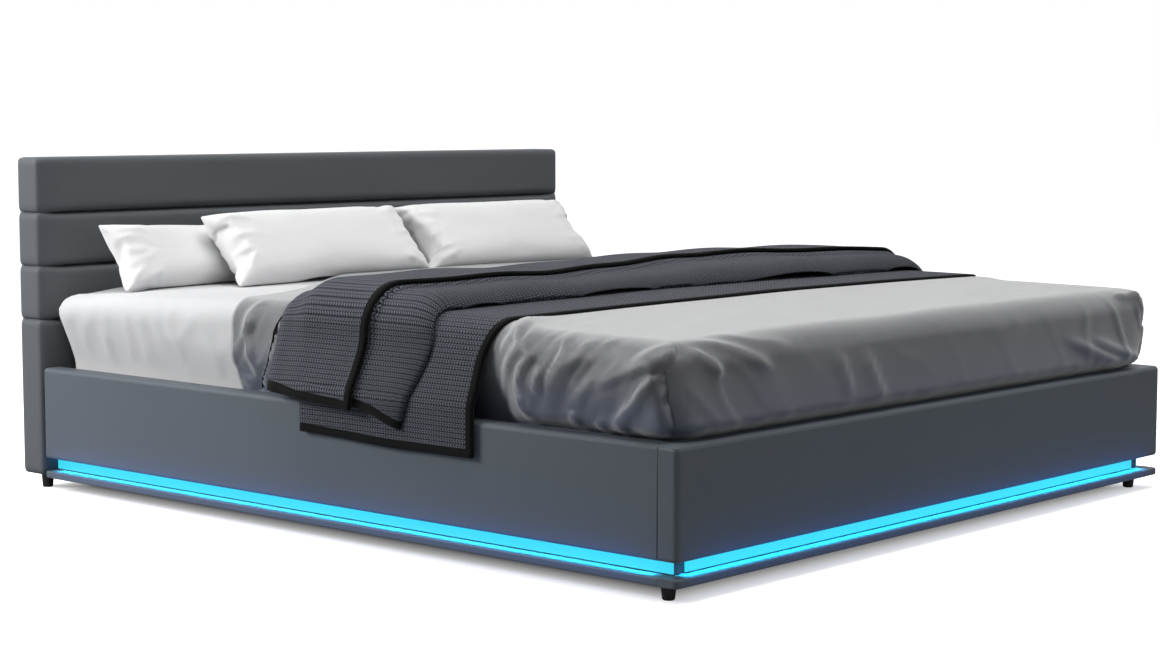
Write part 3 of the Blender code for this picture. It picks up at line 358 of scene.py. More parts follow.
def mixed(tree, share, first, second):
    """The first colour, and the second where the share is 1."""
    return add(tree, "ShaderNodeMix", {0: share, 6: first, 7: second}, data_type="RGBA")[2]


def grey(tree, tone):
    return add(tree, "ShaderNodeCombineColor", {0: tone, 1: tone, 2: tone})[0]


def open_group(name, inputs, outputs):
    """An empty shader node group with the named sockets."""
    tree = bpy.data.node_groups.new(name, "ShaderNodeTree")
    for label, kind, value in inputs:
        socket = tree.interface.new_socket(name=label, in_out="INPUT", socket_type=kind)
        if value is not None:
            socket.default_value = value
    for label, kind in outputs:
        tree.interface.new_socket(name=label, in_out="OUTPUT", socket_type=kind)
    return tree, tree.nodes.new("NodeGroupInput"), tree.nodes.new("NodeGroupOutput")


def mottle_group():
    """Soft changes of a colour over the surface."""
    tree, start, end = open_group(
        "mottle",
        [
            ("Vector", "NodeSocketVector", None),
            ("Colour", "NodeSocketColor", (0.5, 0.5, 0.5, 1)),
            ("Scale", "NodeSocketFloat", 6.0),
            ("Amount", "NodeSocketFloat", 0.1),
        ],
        [("Colour", "NodeSocketColor"), ("Mask", "NodeSocketFloat")],
    )
    given = start.outputs
    mask = clouds(tree, given["Vector"], given["Scale"], 5)
    lift = maths(tree, "MULTIPLY_ADD", mask, 2, -1)
    tone = maths(tree, "MULTIPLY_ADD", lift, given["Amount"], 1)
    connect(tree, end, {"Colour": toned(tree, given["Colour"], tone), "Mask": mask})
    return tree


def grain_group():
    """Fine pebbled grain of leather."""
    tree, start, end = open_group(
        "leather_grain",
        [("Vector", "NodeSocketVector", None), ("Scale", "NodeSocketFloat", 600.0)],
        [("Height", "NodeSocketFloat")],
    )
    vector, scale = start.outputs["Vector"], start.outputs["Scale"]
    cells = add(tree, "ShaderNodeTexVoronoi", {"Vector": vector, "Scale": scale}, feature="F1")
    broad = clouds(tree, vector, maths(tree, "MULTIPLY", scale, 0.02), 3)
    connect(tree, end, {"Height": maths(tree, "MULTIPLY_ADD", broad, 1.5, cells["Distance"])})
    return tree


def weave_group():
    """Plain weave on a flat map in metres: threads over and under, and thicker threads here and there."""
    tree, start, end = open_group(
        "weave",
        [("Vector", "NodeSocketVector", None), ("Threads", "NodeSocketFloat", 1500.0)],
        [("Height", "NodeSocketFloat"), ("Slub", "NodeSocketFloat")],
    )
    vector = start.outputs["Vector"]
    flat = axes(tree, vector)
    turn = maths(tree, "MULTIPLY", start.outputs["Threads"], math.pi)
    warp = maths(tree, "SINE", maths(tree, "MULTIPLY", flat[0], turn))
    weft = maths(tree, "SINE", maths(tree, "MULTIPLY", flat[1], turn))
    slub = clouds(tree, drawn_out(tree, vector, (700, 9, 1)), 1)
    cross = clouds(tree, drawn_out(tree, vector, (9, 700, 1)), 1)
    both = maths(tree, "MULTIPLY", maths(tree, "ADD", slub, cross), 0.5)
    connect(tree, end, {"Height": maths(tree, "MULTIPLY", warp, weft), "Slub": both})
    return tree


def knit_group():
    """Rows of sideways V stitches on a flat map in metres, rows running along the map's first axis."""
    tree, start, end = open_group(
        "knit",
        [("Vector", "NodeSocketVector", None), ("Stitch", "NodeSocketFloat", 0.0108)],
        [("Height", "NodeSocketFloat")],
    )
    flat = axes(tree, start.outputs["Vector"])
    stitch = start.outputs["Stitch"]
    row = maths(tree, "DIVIDE", flat[1], stitch)
    lean = maths(tree, "ABSOLUTE", maths(tree, "SUBTRACT", maths(tree, "FRACT", row), 0.5))
    column = maths(tree, "DIVIDE", flat[0], maths(tree, "MULTIPLY", stitch, 0.80))
    slanted = maths(tree, "MULTIPLY_ADD", lean, 1.5, column)
    leg = maths(tree, "ABSOLUTE", maths(tree, "SINE", maths(tree, "MULTIPLY", slanted, math.pi)))
    round_leg = maths(tree, "POWER", leg, 0.7)
    spread = maths(tree, "MULTIPLY", lean, 2)
    edge = maths(tree, "SUBTRACT", 1, maths(tree, "POWER", spread, 6))
    middle = maths(tree, "MINIMUM", maths(tree, "MULTIPLY_ADD", spread, 2, 0.55), 1)
    height = maths(tree, "MULTIPLY", maths(tree, "MULTIPLY", round_leg, edge), middle)
    connect(tree, end, {"Height": height})
    return tree


GROUP_MAKERS = {"mottle": mottle_group, "grain": grain_group, "weave": weave_group, "knit": knit_group}
GROUPS = {}


def use_group(tree, name, inputs):
    """A shared group placed in a material. Gives its outputs."""
    if name not in GROUPS:
        GROUPS[name] = GROUP_MAKERS[name]()
    return add(tree, "ShaderNodeGroup", inputs, node_tree=GROUPS[name])


def new_look(name, roughness=0.5, **sockets):
    """A material, its node tree, its shader and the outputs of its coordinates."""
    look = bpy.data.materials.new(name)
    look.use_nodes = True
    tree = look.node_tree
    shader = tree.nodes["Principled BSDF"]
    shader.inputs["Roughness"].default_value = roughness
    for label, value in sockets.items():
        shader.inputs[label.replace("_", " ")].default_value = value
    return look, tree, shader, add(tree, "ShaderNodeTexCoord", {})


def bump(tree, shader, height, distance, strength=1.0):
    inputs = {"Height": height, "Distance": distance, "Strength": strength}
    connect(tree, shader, {"Normal": add(tree, "ShaderNodeBump", inputs)["Normal"]})


def opaque(colour):
    return (*colour[:3], 1)


def mottled(tree, place, colour, scale, amount):
    """A colour with soft changes over the surface. Gives it and the changes' mask."""
    inputs = {"Vector": place["Object"], "Colour": opaque(colour), "Scale": scale, "Amount": amount}
    return use_group(tree, "mottle", inputs)


def leather_look(name, colour, shine):
    """Smooth leather with a fine pebbled grain."""
    look, tree, shader, place = new_look(name, Specular_IOR_Level=shine)
    mottle = mottled(tree, place, colour, 2.2, 0.07)
    rough = maths(tree, "MULTIPLY_ADD", mottle["Mask"], 0.14, 0.38)
    connect(tree, shader, {"Base Color": mottle["Colour"], "Roughness": rough})
    grain = use_group(tree, "grain", {"Vector": place["Object"], "Scale": 650.0})
    bump(tree, shader, grain["Height"], 0.00022, 0.5)
    return look


def cloth_look(name, colour, threads, roughness, slub, sheen, shine=0.3, waves=0.0):
    """Woven cloth on the flat map of its piece."""
    look, tree, shader, place = new_look(
        name, roughness, Sheen_Weight=sheen, Sheen_Roughness=0.4, Specular_IOR_Level=shine
    )
    weave = use_group(tree, "weave", {"Vector": place["UV"], "Threads": threads})
    mottle = mottled(tree, place, colour, 5.0, 0.05)
    tone = maths(tree, "MULTIPLY_ADD", weave["Slub"], slub, 1 - slub / 2)
    connect(tree, shader, {"Base Color": toned(tree, mottle["Colour"], tone)})
    height = maths(tree, "MULTIPLY_ADD", weave["Slub"], 1.5, weave["Height"])
    if waves:
        ripple = clouds(tree, place["Object"], 26.0, 3)
        height = maths(tree, "MULTIPLY_ADD", ripple, waves, height)
    bump(tree, shader, height, 0.0002, 0.6)
    return look


def satin_look(name, colour, pale, painted_strip_blue):
    """Satin: woven cloth, with a painted sheen where it is seen at a flat angle and painted blue light of the
    lit strip low on the bed.
    """
    look = cloth_look(name, colour, 1400.0, 0.36, 0.06, 0.25, 0.5, waves=1.5)
    tree = look.node_tree
    shader = tree.nodes["Principled BSDF"]
    place = tree.nodes["Texture Coordinate"].outputs
    facing = add(tree, "ShaderNodeLayerWeight", {"Blend": 0.5})["Facing"]
    woven = shader.inputs["Base Color"].links[0].from_socket
    # Painted blue light of the lit strip, mixed in low on the bed
    low = ramp(tree, axes(tree, place["Object"])[2], 0.45, 0.32, 0.0, 0.85)
    with_painted_strip_blue = mixed(tree, low, woven, opaque(painted_strip_blue))
    # Painted sheen: a pale colour, in streaks, mixed in where the satin is seen at a flat angle
    streaks = clouds(tree, drawn_out(tree, place["UV"], (7, 45, 1)), 1, 4)
    sheen = toned(tree, pale, maths(tree, "MULTIPLY_ADD", streaks, 0.36, 0.81))
    flat = ramp(tree, facing, 0.46, 0.80, 0.0, 1.0)
    connect(tree, shader, {"Base Color": mixed(tree, flat, with_painted_strip_blue, sheen)})
    return look


def knit_look(name, colour, stitch):
    """Chunky knit, with painted shade between its stitches."""
    look, tree, shader, place = new_look(
        name, 0.85, Sheen_Weight=0.06, Sheen_Roughness=0.5, Specular_IOR_Level=0.12
    )
    knit = use_group(tree, "knit", {"Vector": place["UV"], "Stitch": stitch})
    mottle = mottled(tree, place, colour, 9.0, 0.12)
    fuzz = clouds(tree, place["UV"], 900.0, 3)
    # The fuzz gives the yarn's paler heather specks; the colour then darkens where the stitches are low,
    # painted shade between them
    lit = maths(tree, "MULTIPLY_ADD", fuzz, 0.3, knit["Height"])
    tone = maths(tree, "MULTIPLY_ADD", maths(tree, "POWER", lit, 2.4), 2.0, 0.07)
    connect(tree, shader, {"Base Color": toned(tree, mottle["Colour"], tone)})
    bump(tree, shader, lit, 0.0035)
    return look


def plain_look(name, colour, roughness, scale=8.0, amount=0.08, fine=400.0, depth=0.0001, metallic=0.0):
    """Paint, plastic or metal with slight unevenness."""
    look, tree, shader, place = new_look(name, roughness, Metallic=metallic)
    mottle = mottled(tree, place, colour, scale, amount)
    rough = maths(tree, "MULTIPLY_ADD", mottle["Mask"], 0.16, roughness - 0.08)
    connect(tree, shader, {"Base Color": mottle["Colour"], "Roughness": rough})
    bump(tree, shader, clouds(tree, place["Object"], fine), depth, 0.6)
    return look


def wood_look(name, colour, along, roughness, contrast=0.35):
    """Wood with its grain along one axis, or flakes of board where the grain has none."""
    look, tree, shader, place = new_look(name, roughness)
    scale = {"X": (1.2, 26, 26), "Y": (26, 1.2, 26), "none": (60, 60, 60)}[along]
    grain = clouds(tree, drawn_out(tree, place["Object"], scale), 2.25, 6)
    tone = maths(tree, "MULTIPLY_ADD", grain, contrast * 2, 1 - contrast)
    connect(tree, shader, {"Base Color": toned(tree, colour, tone)})
    bump(tree, shader, grain, 0.0004, 0.5)
    return look


def light_look(name, colour, strength):
    """Frosted plastic, lit from within."""
    look, tree, shader, place = new_look(name, 0.35, Emission_Strength=strength)
    tone = maths(tree, "MULTIPLY_ADD", clouds(tree, place["Object"], 3.0, 1), 0.10, 0.95)
    unlit = (0.02, 0.02, 0.02, 1)
    connect(tree, shader, {"Base Color": unlit, "Emission Color": toned(tree, colour, tone)})
    return look


def dress(look, nodes):
    """Gives nodes of the frame their material."""
    for node in nodes:
        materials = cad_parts[node].data.materials
        materials.clear()
        materials.append(look)


def pairs(*names):
    """The left and the right node of each name, which has a star in the side's place."""
    return [name.replace("*", side) for name in names for side in SIDES]


def shaded(colour, tones):
    """A colour, each of its channels times its own tone."""
    return [channel * tone for channel, tone in zip(colour, tones)]


# The bed's pieces


def colours():
    return bpy.context.scene.bed_colours


def sizes():
    return bpy.context.scene.bed_sizes


# The rails' leather is a little bluer than the headboard's: painted blue light of the lit strip beside them
PAINTED_STRIP_BLUE_TONES = (1.05, 1.11, 1.19)
HEADBOARD_TONES = (1.07, 1.07, 1.07)


class BED_OT_base(bpy.types.Operator):
    """Leather, board, metal, plastic and wood on the parts of the frame that keep their shape"""

    bl_idname = "bed.base"
    bl_label = "Finish the base"

    def execute(self, context):
        tint = colours()
        # The rails' leather carries painted blue light of the lit strip
        rail = leather_look("rail_leather", shaded(tint.leather, PAINTED_STRIP_BLUE_TONES), 0.12)
        dress(rail, pairs("side_rail_*_cover", "plinth_*") + ["foot_rail_cover", "plinth_foot"])
        board = wood_look("particle_board", tint.board, "none", 0.8, contrast=0.25)
        dress(board, pairs("side_rail_*_board") + ["headboard_core", "foot_rail_board"])
        riser = plain_look("riser_paint", (0.010, 0.012, 0.016), 0.5)
        dress(riser, pairs("riser_*") + ["riser_foot"])
        plastic = plain_look("foot_plastic", (0.006, 0.006, 0.007), 0.4, fine=900.0, depth=0.00015)
        dress(plastic, pairs("foot_front_*", "foot_rear_*"))
        dress(plastic, ["foot_centre_front", "foot_centre_rear", "led_controller"])
        cloth = plain_look("backing_cloth", (0.012, 0.012, 0.013), 0.95, fine=1200.0, depth=0.0006)
        dress(cloth, ["headboard_back_cloth"])
        steel = plain_look("steel_powder_coat", tint.steel, 0.48, fine=1500.0, depth=0.00025)
        dress(steel, pairs("lift_bracket_*", "lift_arm_*", "lift_link_*", "gas_cylinder_*"))
        dress(steel, pairs("platform_bracket_*") + ["centre_beam", "platform_frame"])
        zinc = plain_look("zinc_plate", (0.47, 0.48, 0.50), 0.32, 30.0, 0.18, metallic=1.0)
        dress(zinc, pairs("corner_angle_front_*", "corner_angle_rear_*"))
        chrome = plain_look("rod_chrome", (0.72, 0.72, 0.74), 0.10, 20.0, 0.03, metallic=1.0)
        dress(chrome, pairs("gas_rod_*"))
        dress(wood_look("birch_across", tint.birch, "X", 0.5), pairs("slats_*"))
        dress(wood_look("birch_along", tint.birch, "Y", 0.5), pairs("ledge_*"))
        hardboard = wood_look("hardboard", (0.17, 0.11, 0.062), "none", 0.7, contrast=0.12)
        dress(hardboard, ["storage_floor_front", "storage_floor_rear"])
        return {"FINISHED"}


# A bolt's washer and its hexagonal head: sides, radius, height and start over the plate
BOLT_PARTS = ((24, 0.0075, 0.0012, 0.0), (6, 0.0058, 0.0040, 0.0012))
BOLT_EDGE = 0.0003
ANGLE_PLATE = 0.003
# Bolts stand at these shares of an angle's height, this far aside from its plates' middles
BOLT_SHARES = (0.25, 0.75)
BOLT_ASIDE = 0.004
# A welt's size across, how far it is sunk, how much shorter than the cover it is, and its edges' radius
WELT_WIDE, WELT_DEEP = 0.0024, 0.0030
WELT_SUNK = 0.0007
WELT_SHORT = 0.012
WELT_EDGE = 0.0005


def add_bolt(bm, spot, way):
    """A washer and a hexagonal head on a face, pointing along way."""
    turn = way.to_track_quat("Z", "Y").to_matrix().to_4x4()
    for sides, radius, rise, start in BOLT_PARTS:
        place = Matrix.Translation(spot + way * (start + rise / 2)) @ turn
        made = bmesh.ops.create_cone(
            bm, cap_ends=True, segments=sides, radius1=radius, radius2=radius, depth=rise, matrix=place
        )
        rim = {edge for vert in made["verts"] for edge in vert.link_edges}
        bevelled(bm, list(rim), BOLT_EDGE, 1)


def bolt_angle(end, side, look):
    """Four bolts in a corner angle: two through its plate on the side, two through that on the end."""
    way_x = 1 if side == "left" else -1
    way_y = 1 if end == "front" else -1
    low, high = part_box(f"corner_angle_{end}_{side}")
    wall_x = low.x if way_x > 0 else high.x
    wall_y = low.y if way_y > 0 else high.y
    bm = bmesh.new()
    for share in BOLT_SHARES:
        level = low.z + (high.z - low.z) * share
        on_side = Vector((wall_x + way_x * ANGLE_PLATE, (low.y + high.y) / 2 + way_y * BOLT_ASIDE, level))
        on_end = Vector(((low.x + high.x) / 2 + way_x * BOLT_ASIDE, wall_y + way_y * ANGLE_PLATE, level))
        add_bolt(bm, on_side, Vector((way_x, 0, 0)))
        add_bolt(bm, on_end, Vector((0, way_y, 0)))
    finished(f"corner_bolts_{end}_{side}", bm, [look], "bed_base", smooth=False)


def sew_welt(side, look):
    """The thin upright edge where a side cover meets the foot cover."""
    way = -1 if side == "left" else 1
    low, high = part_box(f"side_rail_{side}_cover")
    outer = way * max(abs(low.x), abs(high.x))
    shape = Matrix.Diagonal((WELT_WIDE, WELT_DEEP, high.z - low.z - WELT_SHORT, 1))
    spot = Matrix.Translation((outer - way * WELT_SUNK, low.y, (low.z + high.z) / 2))
    bm = bmesh.new()
    bmesh.ops.create_cube(bm, size=1, matrix=spot @ shape)
    bevelled(bm, bm.edges[:], WELT_EDGE, 2)
    finished(f"corner_welt_{side}", bm, [look], "bed_base")


class BED_OT_fixings(bpy.types.Operator):
    """Bolts of the corner angles, and the welts between the side covers and the foot cover"""

    bl_idname = "bed.fixings"
    bl_label = "Fit the fixings"

    def execute(self, context):
        zinc = plain_look("bolt_zinc", (0.50, 0.51, 0.53), 0.3, 30.0, 0.15, metallic=1.0)
        for side in SIDES:
            for end in ("front", "rear"):
                bolt_angle(end, side, zinc)
        welt = plain_look("welt_edge", (0.006, 0.006, 0.008), 0.6)
        for side in SIDES:
            sew_welt(side, welt)
        return {"FINISHED"}


class BED_OT_light(bpy.types.Operator):
    """The lit strips in the recessed channel"""

    bl_idname = "bed.light"
    bl_label = "Light the plinth"

    def execute(self, context):
        look = light_look("lit_strip", tuple(colours().light), sizes().glow)
        dress(look, pairs("led_strip_*") + ["led_strip_foot"])
        return {"FINISHED"}


# The headboard's bands: their cells and edges, how far a seam draws them in and how deep, how deep their
# ends lie, and how far the top band's upper edge is raised
BAND_CELL = 0.009
BAND_EDGE = 0.013
SEAM_REACH = 0.017
SEAM_DEPTH = 0.016
SEAM_NARROW = 0.002
END_REACH = 0.08
END_DEPTH = 0.014
TOP_RISE, TOP_REACH = 0.004, 0.05
# Unevenness of the padding, and of the leather gathered at the seams
SWELL = 0.0012
PUCKER, PUCKER_REACH = 0.0011, 0.02


def pinched(distance):
    """How much a seam draws the padding in, from 1 at the seam to 0 where its reach ends."""
    share = np.clip(1 - distance / SEAM_REACH, 0, 1)
    return 1 - np.sqrt(1 - share * share)


def pad_band(number, look):
    """One band, counted from the top. The first has no seam over it."""
    name = f"headboard_band_{number}"
    low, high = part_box(name)
    depth = high.y - low.y
    net_low = (low.x, low.z, 0)
    net_high = (high.x, high.z, depth)
    rows = max(14, round((high.z - low.z) / BAND_CELL))
    bm = box_skin(net_low, net_high, (110, rows, 9), ALL_ROUND)
    flat = read_points(bm)
    points = round_box(flat, net_low, net_high, BAND_EDGE)[0]
    from_low = flat[:, 1] - net_low[1]
    from_high = net_high[1] - flat[:, 1] if number > 1 else np.full(len(flat), FAR_AWAY)
    from_seam = np.minimum(from_low, from_high)

    pinch = pinched(from_seam)
    inside = smooth_share((high.x - np.abs(points[:, 0])) / END_REACH)
    recess = END_DEPTH * (1 - inside) + SEAM_DEPTH * pinch * inside
    share = np.clip(points[:, 2] / depth, 0, 1)
    points[:, 2] -= recess * share
    # Square the seam edges that the rounding took away, so that the bands meet
    points[:, 1] = np.where(from_seam < BAND_EDGE, flat[:, 1], points[:, 1])
    side = np.clip((np.abs(points[:, 0]) - high.x + BAND_EDGE) / BAND_EDGE, 0, 1)
    points[:, 0] -= np.sign(points[:, 0]) * SEAM_NARROW * pinch * side
    if number == 1:
        points[:, 1] += TOP_RISE * smooth_share((flat[:, 1] - net_high[1] + TOP_REACH) / TOP_REACH)
    swell = noise_at(points, (3.0, 16.0, 4.0), number * 7)
    points[:, 2] += SWELL * swell * share * inside
    pucker = noise_at(points, (26.0, 6.0, 4.0), number * 3)
    points[:, 2] += PUCKER * pucker * np.exp(-from_seam / PUCKER_REACH) * share * inside
    write_points(bm, points)

    upright = Matrix(((1, 0, 0, 0), (0, 0, -1, high.y), (0, 1, 0, 0), (0, 0, 0, 1)))
    bmesh.ops.transform(bm, matrix=upright, verts=bm.verts[:])
    rim = [edge for edge in bm.edges if edge.is_boundary]
    bmesh.ops.holes_fill(bm, edges=rim, sides=0)
    bmesh.ops.recalc_face_normals(bm, faces=bm.faces[:])
    piece = finished(f"headboard_padding_{number}", bm, [look], "bed_base")
    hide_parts(name)


class BED_OT_headboard(bpy.types.Operator):
    """Four padded bands, drawn in at the seams between them"""

    bl_idname = "bed.headboard"
    bl_label = "Pad the headboard"

    def execute(self, context):
        look = leather_look("headboard_leather", shaded(colours().leather, HEADBOARD_TONES), 0.08)
        for number in range(1, 5):
            pad_band(number, look)
        return {"FINISHED"}


# The duvet's head edge, from the headboard's front, on the left and on the right
DUVET_HEAD_LEFT = 0.70
DUVET_HEAD_RIGHT = 0.27

# The throw's lines, from the headboard's front, on the left and on the right
HEAD_LINE, CREST_LINE, ROLL_LINE, FOOT_LINE = range(4)
THROW_LEFT = (0.889, 1.010, 1.355, 1.545)
THROW_RIGHT = (0.580, 1.050, 1.375, 1.545)

# The foot edge of the throw's upper layer: places across the bed, and its y there
UPPER_EDGE = (
    (-0.95, -0.68, -0.50, -0.13, 0.27, 0.54, 0.73, 0.95),
    (-0.21, -0.24, -0.26, -0.21, -0.16, -0.21, -0.28, -0.31),
)

# The piping's place on the left side: heights, and y at each
PIPING_Z = (0.300, 0.344, 0.382, 0.488, 0.532)
PIPING_Y = (0.215, 0.191, 0.155, 0.111, 0.025)

# Folds drawn over the sheet, each a line of points in metres, and their height and width
SHEET_FOLDS = (
    ((-0.94, 0.793, 0.43), (-0.94, 0.776, 0.32)),
    ((-0.90, 0.540, 0.52), (-0.94, 0.508, 0.403), (-0.93, 0.480, 0.318)),
    ((-0.90, 0.470, 0.52), (-0.94, 0.402, 0.411), (-0.93, 0.349, 0.325)),
    ((-0.94, 0.600, 0.490), (-0.94, 0.548, 0.390)),
    ((-0.94, 0.455, 0.36), (-0.93, 0.490, 0.325)),
)
SHEET_FOLD_SIZE = (0.0055, 0.008)


def throw_line(line, x):
    """Y of one of the throw's lines: its head edge, the roll's crest, the roll's front or its foot edge."""
    share = smooth_share((x + HALF_BASE) / (2 * HALF_BASE))
    return HEADBOARD_FRONT - THROW_LEFT[line] - (THROW_RIGHT[line] - THROW_LEFT[line]) * share


def duvet_head(x):
    """Y of the duvet's head edge."""
    share = smooth_share((x + HALF_BASE) / 0.90)
    return HEADBOARD_FRONT - DUVET_HEAD_LEFT + (DUVET_HEAD_LEFT - DUVET_HEAD_RIGHT) * share


def side_fold(height, width, start_x, *places):
    """A fold on the left: its height and width, x where it starts, and y and z of each of its points."""
    line = [(-0.93, y, z) for y, z in places]
    line[0] = (start_x, *places[0])
    return line, height, width


def foot_fold(height, width, *points):
    return points, height, width


# Folds drawn over the duvet. A height of 1 is the fold height of the user settings.
DUVET_FOLDS = (
    side_fold(0.9, 0.013, -0.60, (-0.50, 0.53), (-0.622, 0.506), (-0.587, 0.462), (-0.555, 0.411)),
    side_fold(1.0, 0.013, -0.86, (-0.60, 0.53), (-0.661, 0.488), (-0.598, 0.421), (-0.584, 0.382)),
    side_fold(0.9, 0.012, -0.88, (-0.66, 0.52), (-0.695, 0.463), (-0.670, 0.437), (-0.658, 0.363)),
    side_fold(1.0, 0.008, -0.93, (-0.650, 0.387), (-0.664, 0.335)),
    side_fold(0.9, 0.010, -0.93, (-0.731, 0.453), (-0.720, 0.418), (-0.711, 0.380)),
    side_fold(0.9, 0.013, -0.89, (-0.770, 0.52), (-0.789, 0.48), (-0.750, 0.422), (-0.742, 0.385)),
    side_fold(0.7, 0.016, -0.90, (-0.850, 0.51), (-0.829, 0.480), (-0.780, 0.435)),
    side_fold(1.0, 0.015, -0.91, (-1.010, 0.505), (-0.987, 0.480), (-0.922, 0.445), (-0.86, 0.410)),
    side_fold(1.2, 0.009, -0.92, (-1.010, 0.490), (-1.000, 0.451), (-0.948, 0.388), (-0.875, 0.325)),
    side_fold(0.8, 0.008, -0.93, (-0.802, 0.360), (-0.794, 0.325)),
    side_fold(0.8, 0.008, -0.93, (-0.851, 0.345), (-0.870, 0.318)),
    side_fold(0.8, 0.008, -0.93, (-0.904, 0.345), (-0.915, 0.320)),
    foot_fold(0.9, 0.012, (-0.88, -1.02, 0.512), (-0.86, -1.03, 0.490), (-0.80, -1.03, 0.436)),
    foot_fold(
        0.9, 0.015, (-0.87, -1.00, 0.525), (-0.80, -1.02, 0.505), (-0.72, -1.03, 0.470), (-0.64, -1.03, 0.435)
    ),
    foot_fold(0.5, 0.020, (-0.82, -0.98, 0.528), (-0.70, -1.02, 0.508), (-0.56, -1.03, 0.480)),
    foot_fold(0.9, 0.012, (0.50, -1.03, 0.420), (0.867, -1.03, 0.305)),
    foot_fold(0.8, 0.012, (0.62, -1.03, 0.410), (0.918, -1.02, 0.326)),
    foot_fold(0.6, 0.014, (-0.44, -1.02, 0.470), (-0.428, -1.03, 0.447), (-0.372, -1.03, 0.346)),
    foot_fold(0.6, 0.014, (-0.34, -1.02, 0.470), (-0.318, -1.03, 0.428), (-0.241, -1.03, 0.315)),
    foot_fold(1.0, 0.012, (0.78, -1.02, 0.515), (0.90, -1.01, 0.490)),
    foot_fold(0.8, 0.012, (0.84, -1.00, 0.520), (0.90, -1.02, 0.450), (0.90, -1.02, 0.400)),
    side_fold(1.1, 0.014, -0.90, (0.205, 0.527), (0.224, 0.457), (0.209, 0.340)),
)


def shape_sheet(net, low, high):
    """Rounds the sheet's net over the mattress. Where the duvet leaves it bare it has slack and folds."""
    points, out = round_box(net, low, high, EDGE_RADIUS + SHEET_OFFSET)
    points = settle(points, high[0])
    bare = smooth_share((points[:, 1] - duvet_head(points[:, 0]) + 0.029) / 0.14)
    level = points[:, 2]
    hang = smooth_share((level - RAIL_TOP) / 0.06) * smooth_share((0.50 - level) / 0.05)
    sides = np.abs(out[:, 0])
    ridges = ridged_at(points, (2.0, 13.0, 4.5), 11, 4.5)
    over_rail = smooth_share((level - RAIL_TOP - 0.004) / 0.04)
    lift = 0.0045 * ridges * (0.25 + 0.75 * hang) * sides * over_rail
    head_side = smooth_share((points[:, 1] - 0.15) / 0.75)
    slack = 0.022 * head_side * swell_about(level, 0.462, 0.055) * sides
    for line in SHEET_FOLDS:
        lift += crease(points, out, line, *SHEET_FOLD_SIZE)
    wide = noise_at(points, (3.5, 4.5, 5.0), 31)
    lift += 0.0012 * (wide + 0.6) * np.abs(out[:, 2])
    return points + out * ((lift + slack) * bare)[:, None]


def mattress_box(gap):
    """The mattress's lower and upper corner, with a gap all round."""
    low = np.array((-HALF_BED - gap, MATTRESS_FOOT - gap, MATTRESS_BOTTOM))
    high = np.array((HALF_BED + gap, MATTRESS_HEAD + gap, MATTRESS_TOP + gap))
    return low, high


class BED_OT_mattress(bpy.types.Operator):
    """The mattress and the white fitted sheet drawn over it"""

    bl_idname = "bed.mattress"
    bl_label = "Dress the mattress"

    def execute(self, context):
        ticking = plain_look("mattress_ticking", colours().ticking, 0.9, fine=900.0, depth=0.0004)
        low, high = mattress_box(0)
        bm = bmesh.new()
        bmesh.ops.create_cube(bm, size=1)
        bmesh.ops.subdivide_edges(bm, edges=bm.edges[:], cuts=31, use_grid_fill=True)
        points = (read_points(bm) + 0.5) * (high - low) + low
        points = round_box(points, low, high, EDGE_RADIUS, closed_bottom=True)[0]
        write_points(bm, settle(points, high[0]))
        bmesh.ops.recalc_face_normals(bm, faces=bm.faces[:])
        piece = finished("mattress_body", bm, [ticking], "platform")
        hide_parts("mattress")

        low, high = mattress_box(SHEET_OFFSET)
        low[2] = RAIL_TOP - 0.030
        bm = box_skin(low, high, (140, 150, 18), ALL_ROUND)
        write_points(bm, shape_sheet(read_points(bm), low, high))
        linen = cloth_look("sheet_linen", colours().linen, 900.0, 0.75, 0.05, 0.15, waves=2.5)
        piece = finished("bed_sheet", bm, [linen], "platform")
        give_thickness(piece, sizes().sheet)
        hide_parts("fitted_sheet")
        return {"FINISHED"}


def small_folds():
    """Twelve short folds that lean towards the foot down a side, each a line and its height."""
    for number in range(12):
        start = -0.585 - 0.036 * number - 0.008 * math.sin(number * 2.4)
        height = 0.30 + 0.20 * math.sin(number * 1.7 + 0.5)
        low_z = 0.37 + 0.03 * math.sin(number * 4.1)
        line = [(-0.89, start - 0.012, 0.522), (-0.925, start + 0.010, 0.49), (-0.93, start + 0.055, 0.43)]
        line.append((-0.93, start + 0.055 + 0.73 * (0.43 - low_z), low_z))
        yield line, height


def cover_ripples(points, out, down, above_rail):
    """Heights of the ripples down the duvet's sides and foot, and of the puckers where it is tucked in."""
    x, y, z = points.T
    # The ripples lean towards the corner as they rise
    leaning = np.stack([x + 0.6 * z, y + 0.73 * z, z], 1)
    shoulder = smooth_share((0.520 - z) / 0.03) * smooth_share((z - 0.33) / 0.05)
    side = np.abs(out[:, 0]) * down
    yield 0.0060 * ridged_at(leaning, (2.0, 15.0, 2.5), 5, 3.0) * side * (0.3 + 0.7 * shoulder)
    yield 0.0028 * ridged_at(leaning, (2.0, 34.0, 6.0), 9, 3.0) * side * (0.3 + 0.7 * shoulder)
    calm = 0.3 + 0.7 * smooth_share((np.abs(x) - 0.45) / 0.4)
    foot_side = np.abs(out[:, 1]) * down
    yield 0.0040 * ridged_at(leaning, (9.0, 2.0, 5.0), 13, 3.0) * foot_side * above_rail * calm
    yield 0.0040 * noise_at(points, (2.6, 3.2, 3.0), 17) * above_rail
    near_rail = swell_about(z, RAIL_TOP + 0.016, 0.018) * down
    pucker = np.clip(noise_at(points, (26.0, 26.0, 8.0), 23) + 0.25, 0, 1)
    yield 0.0060 * pucker * near_rail


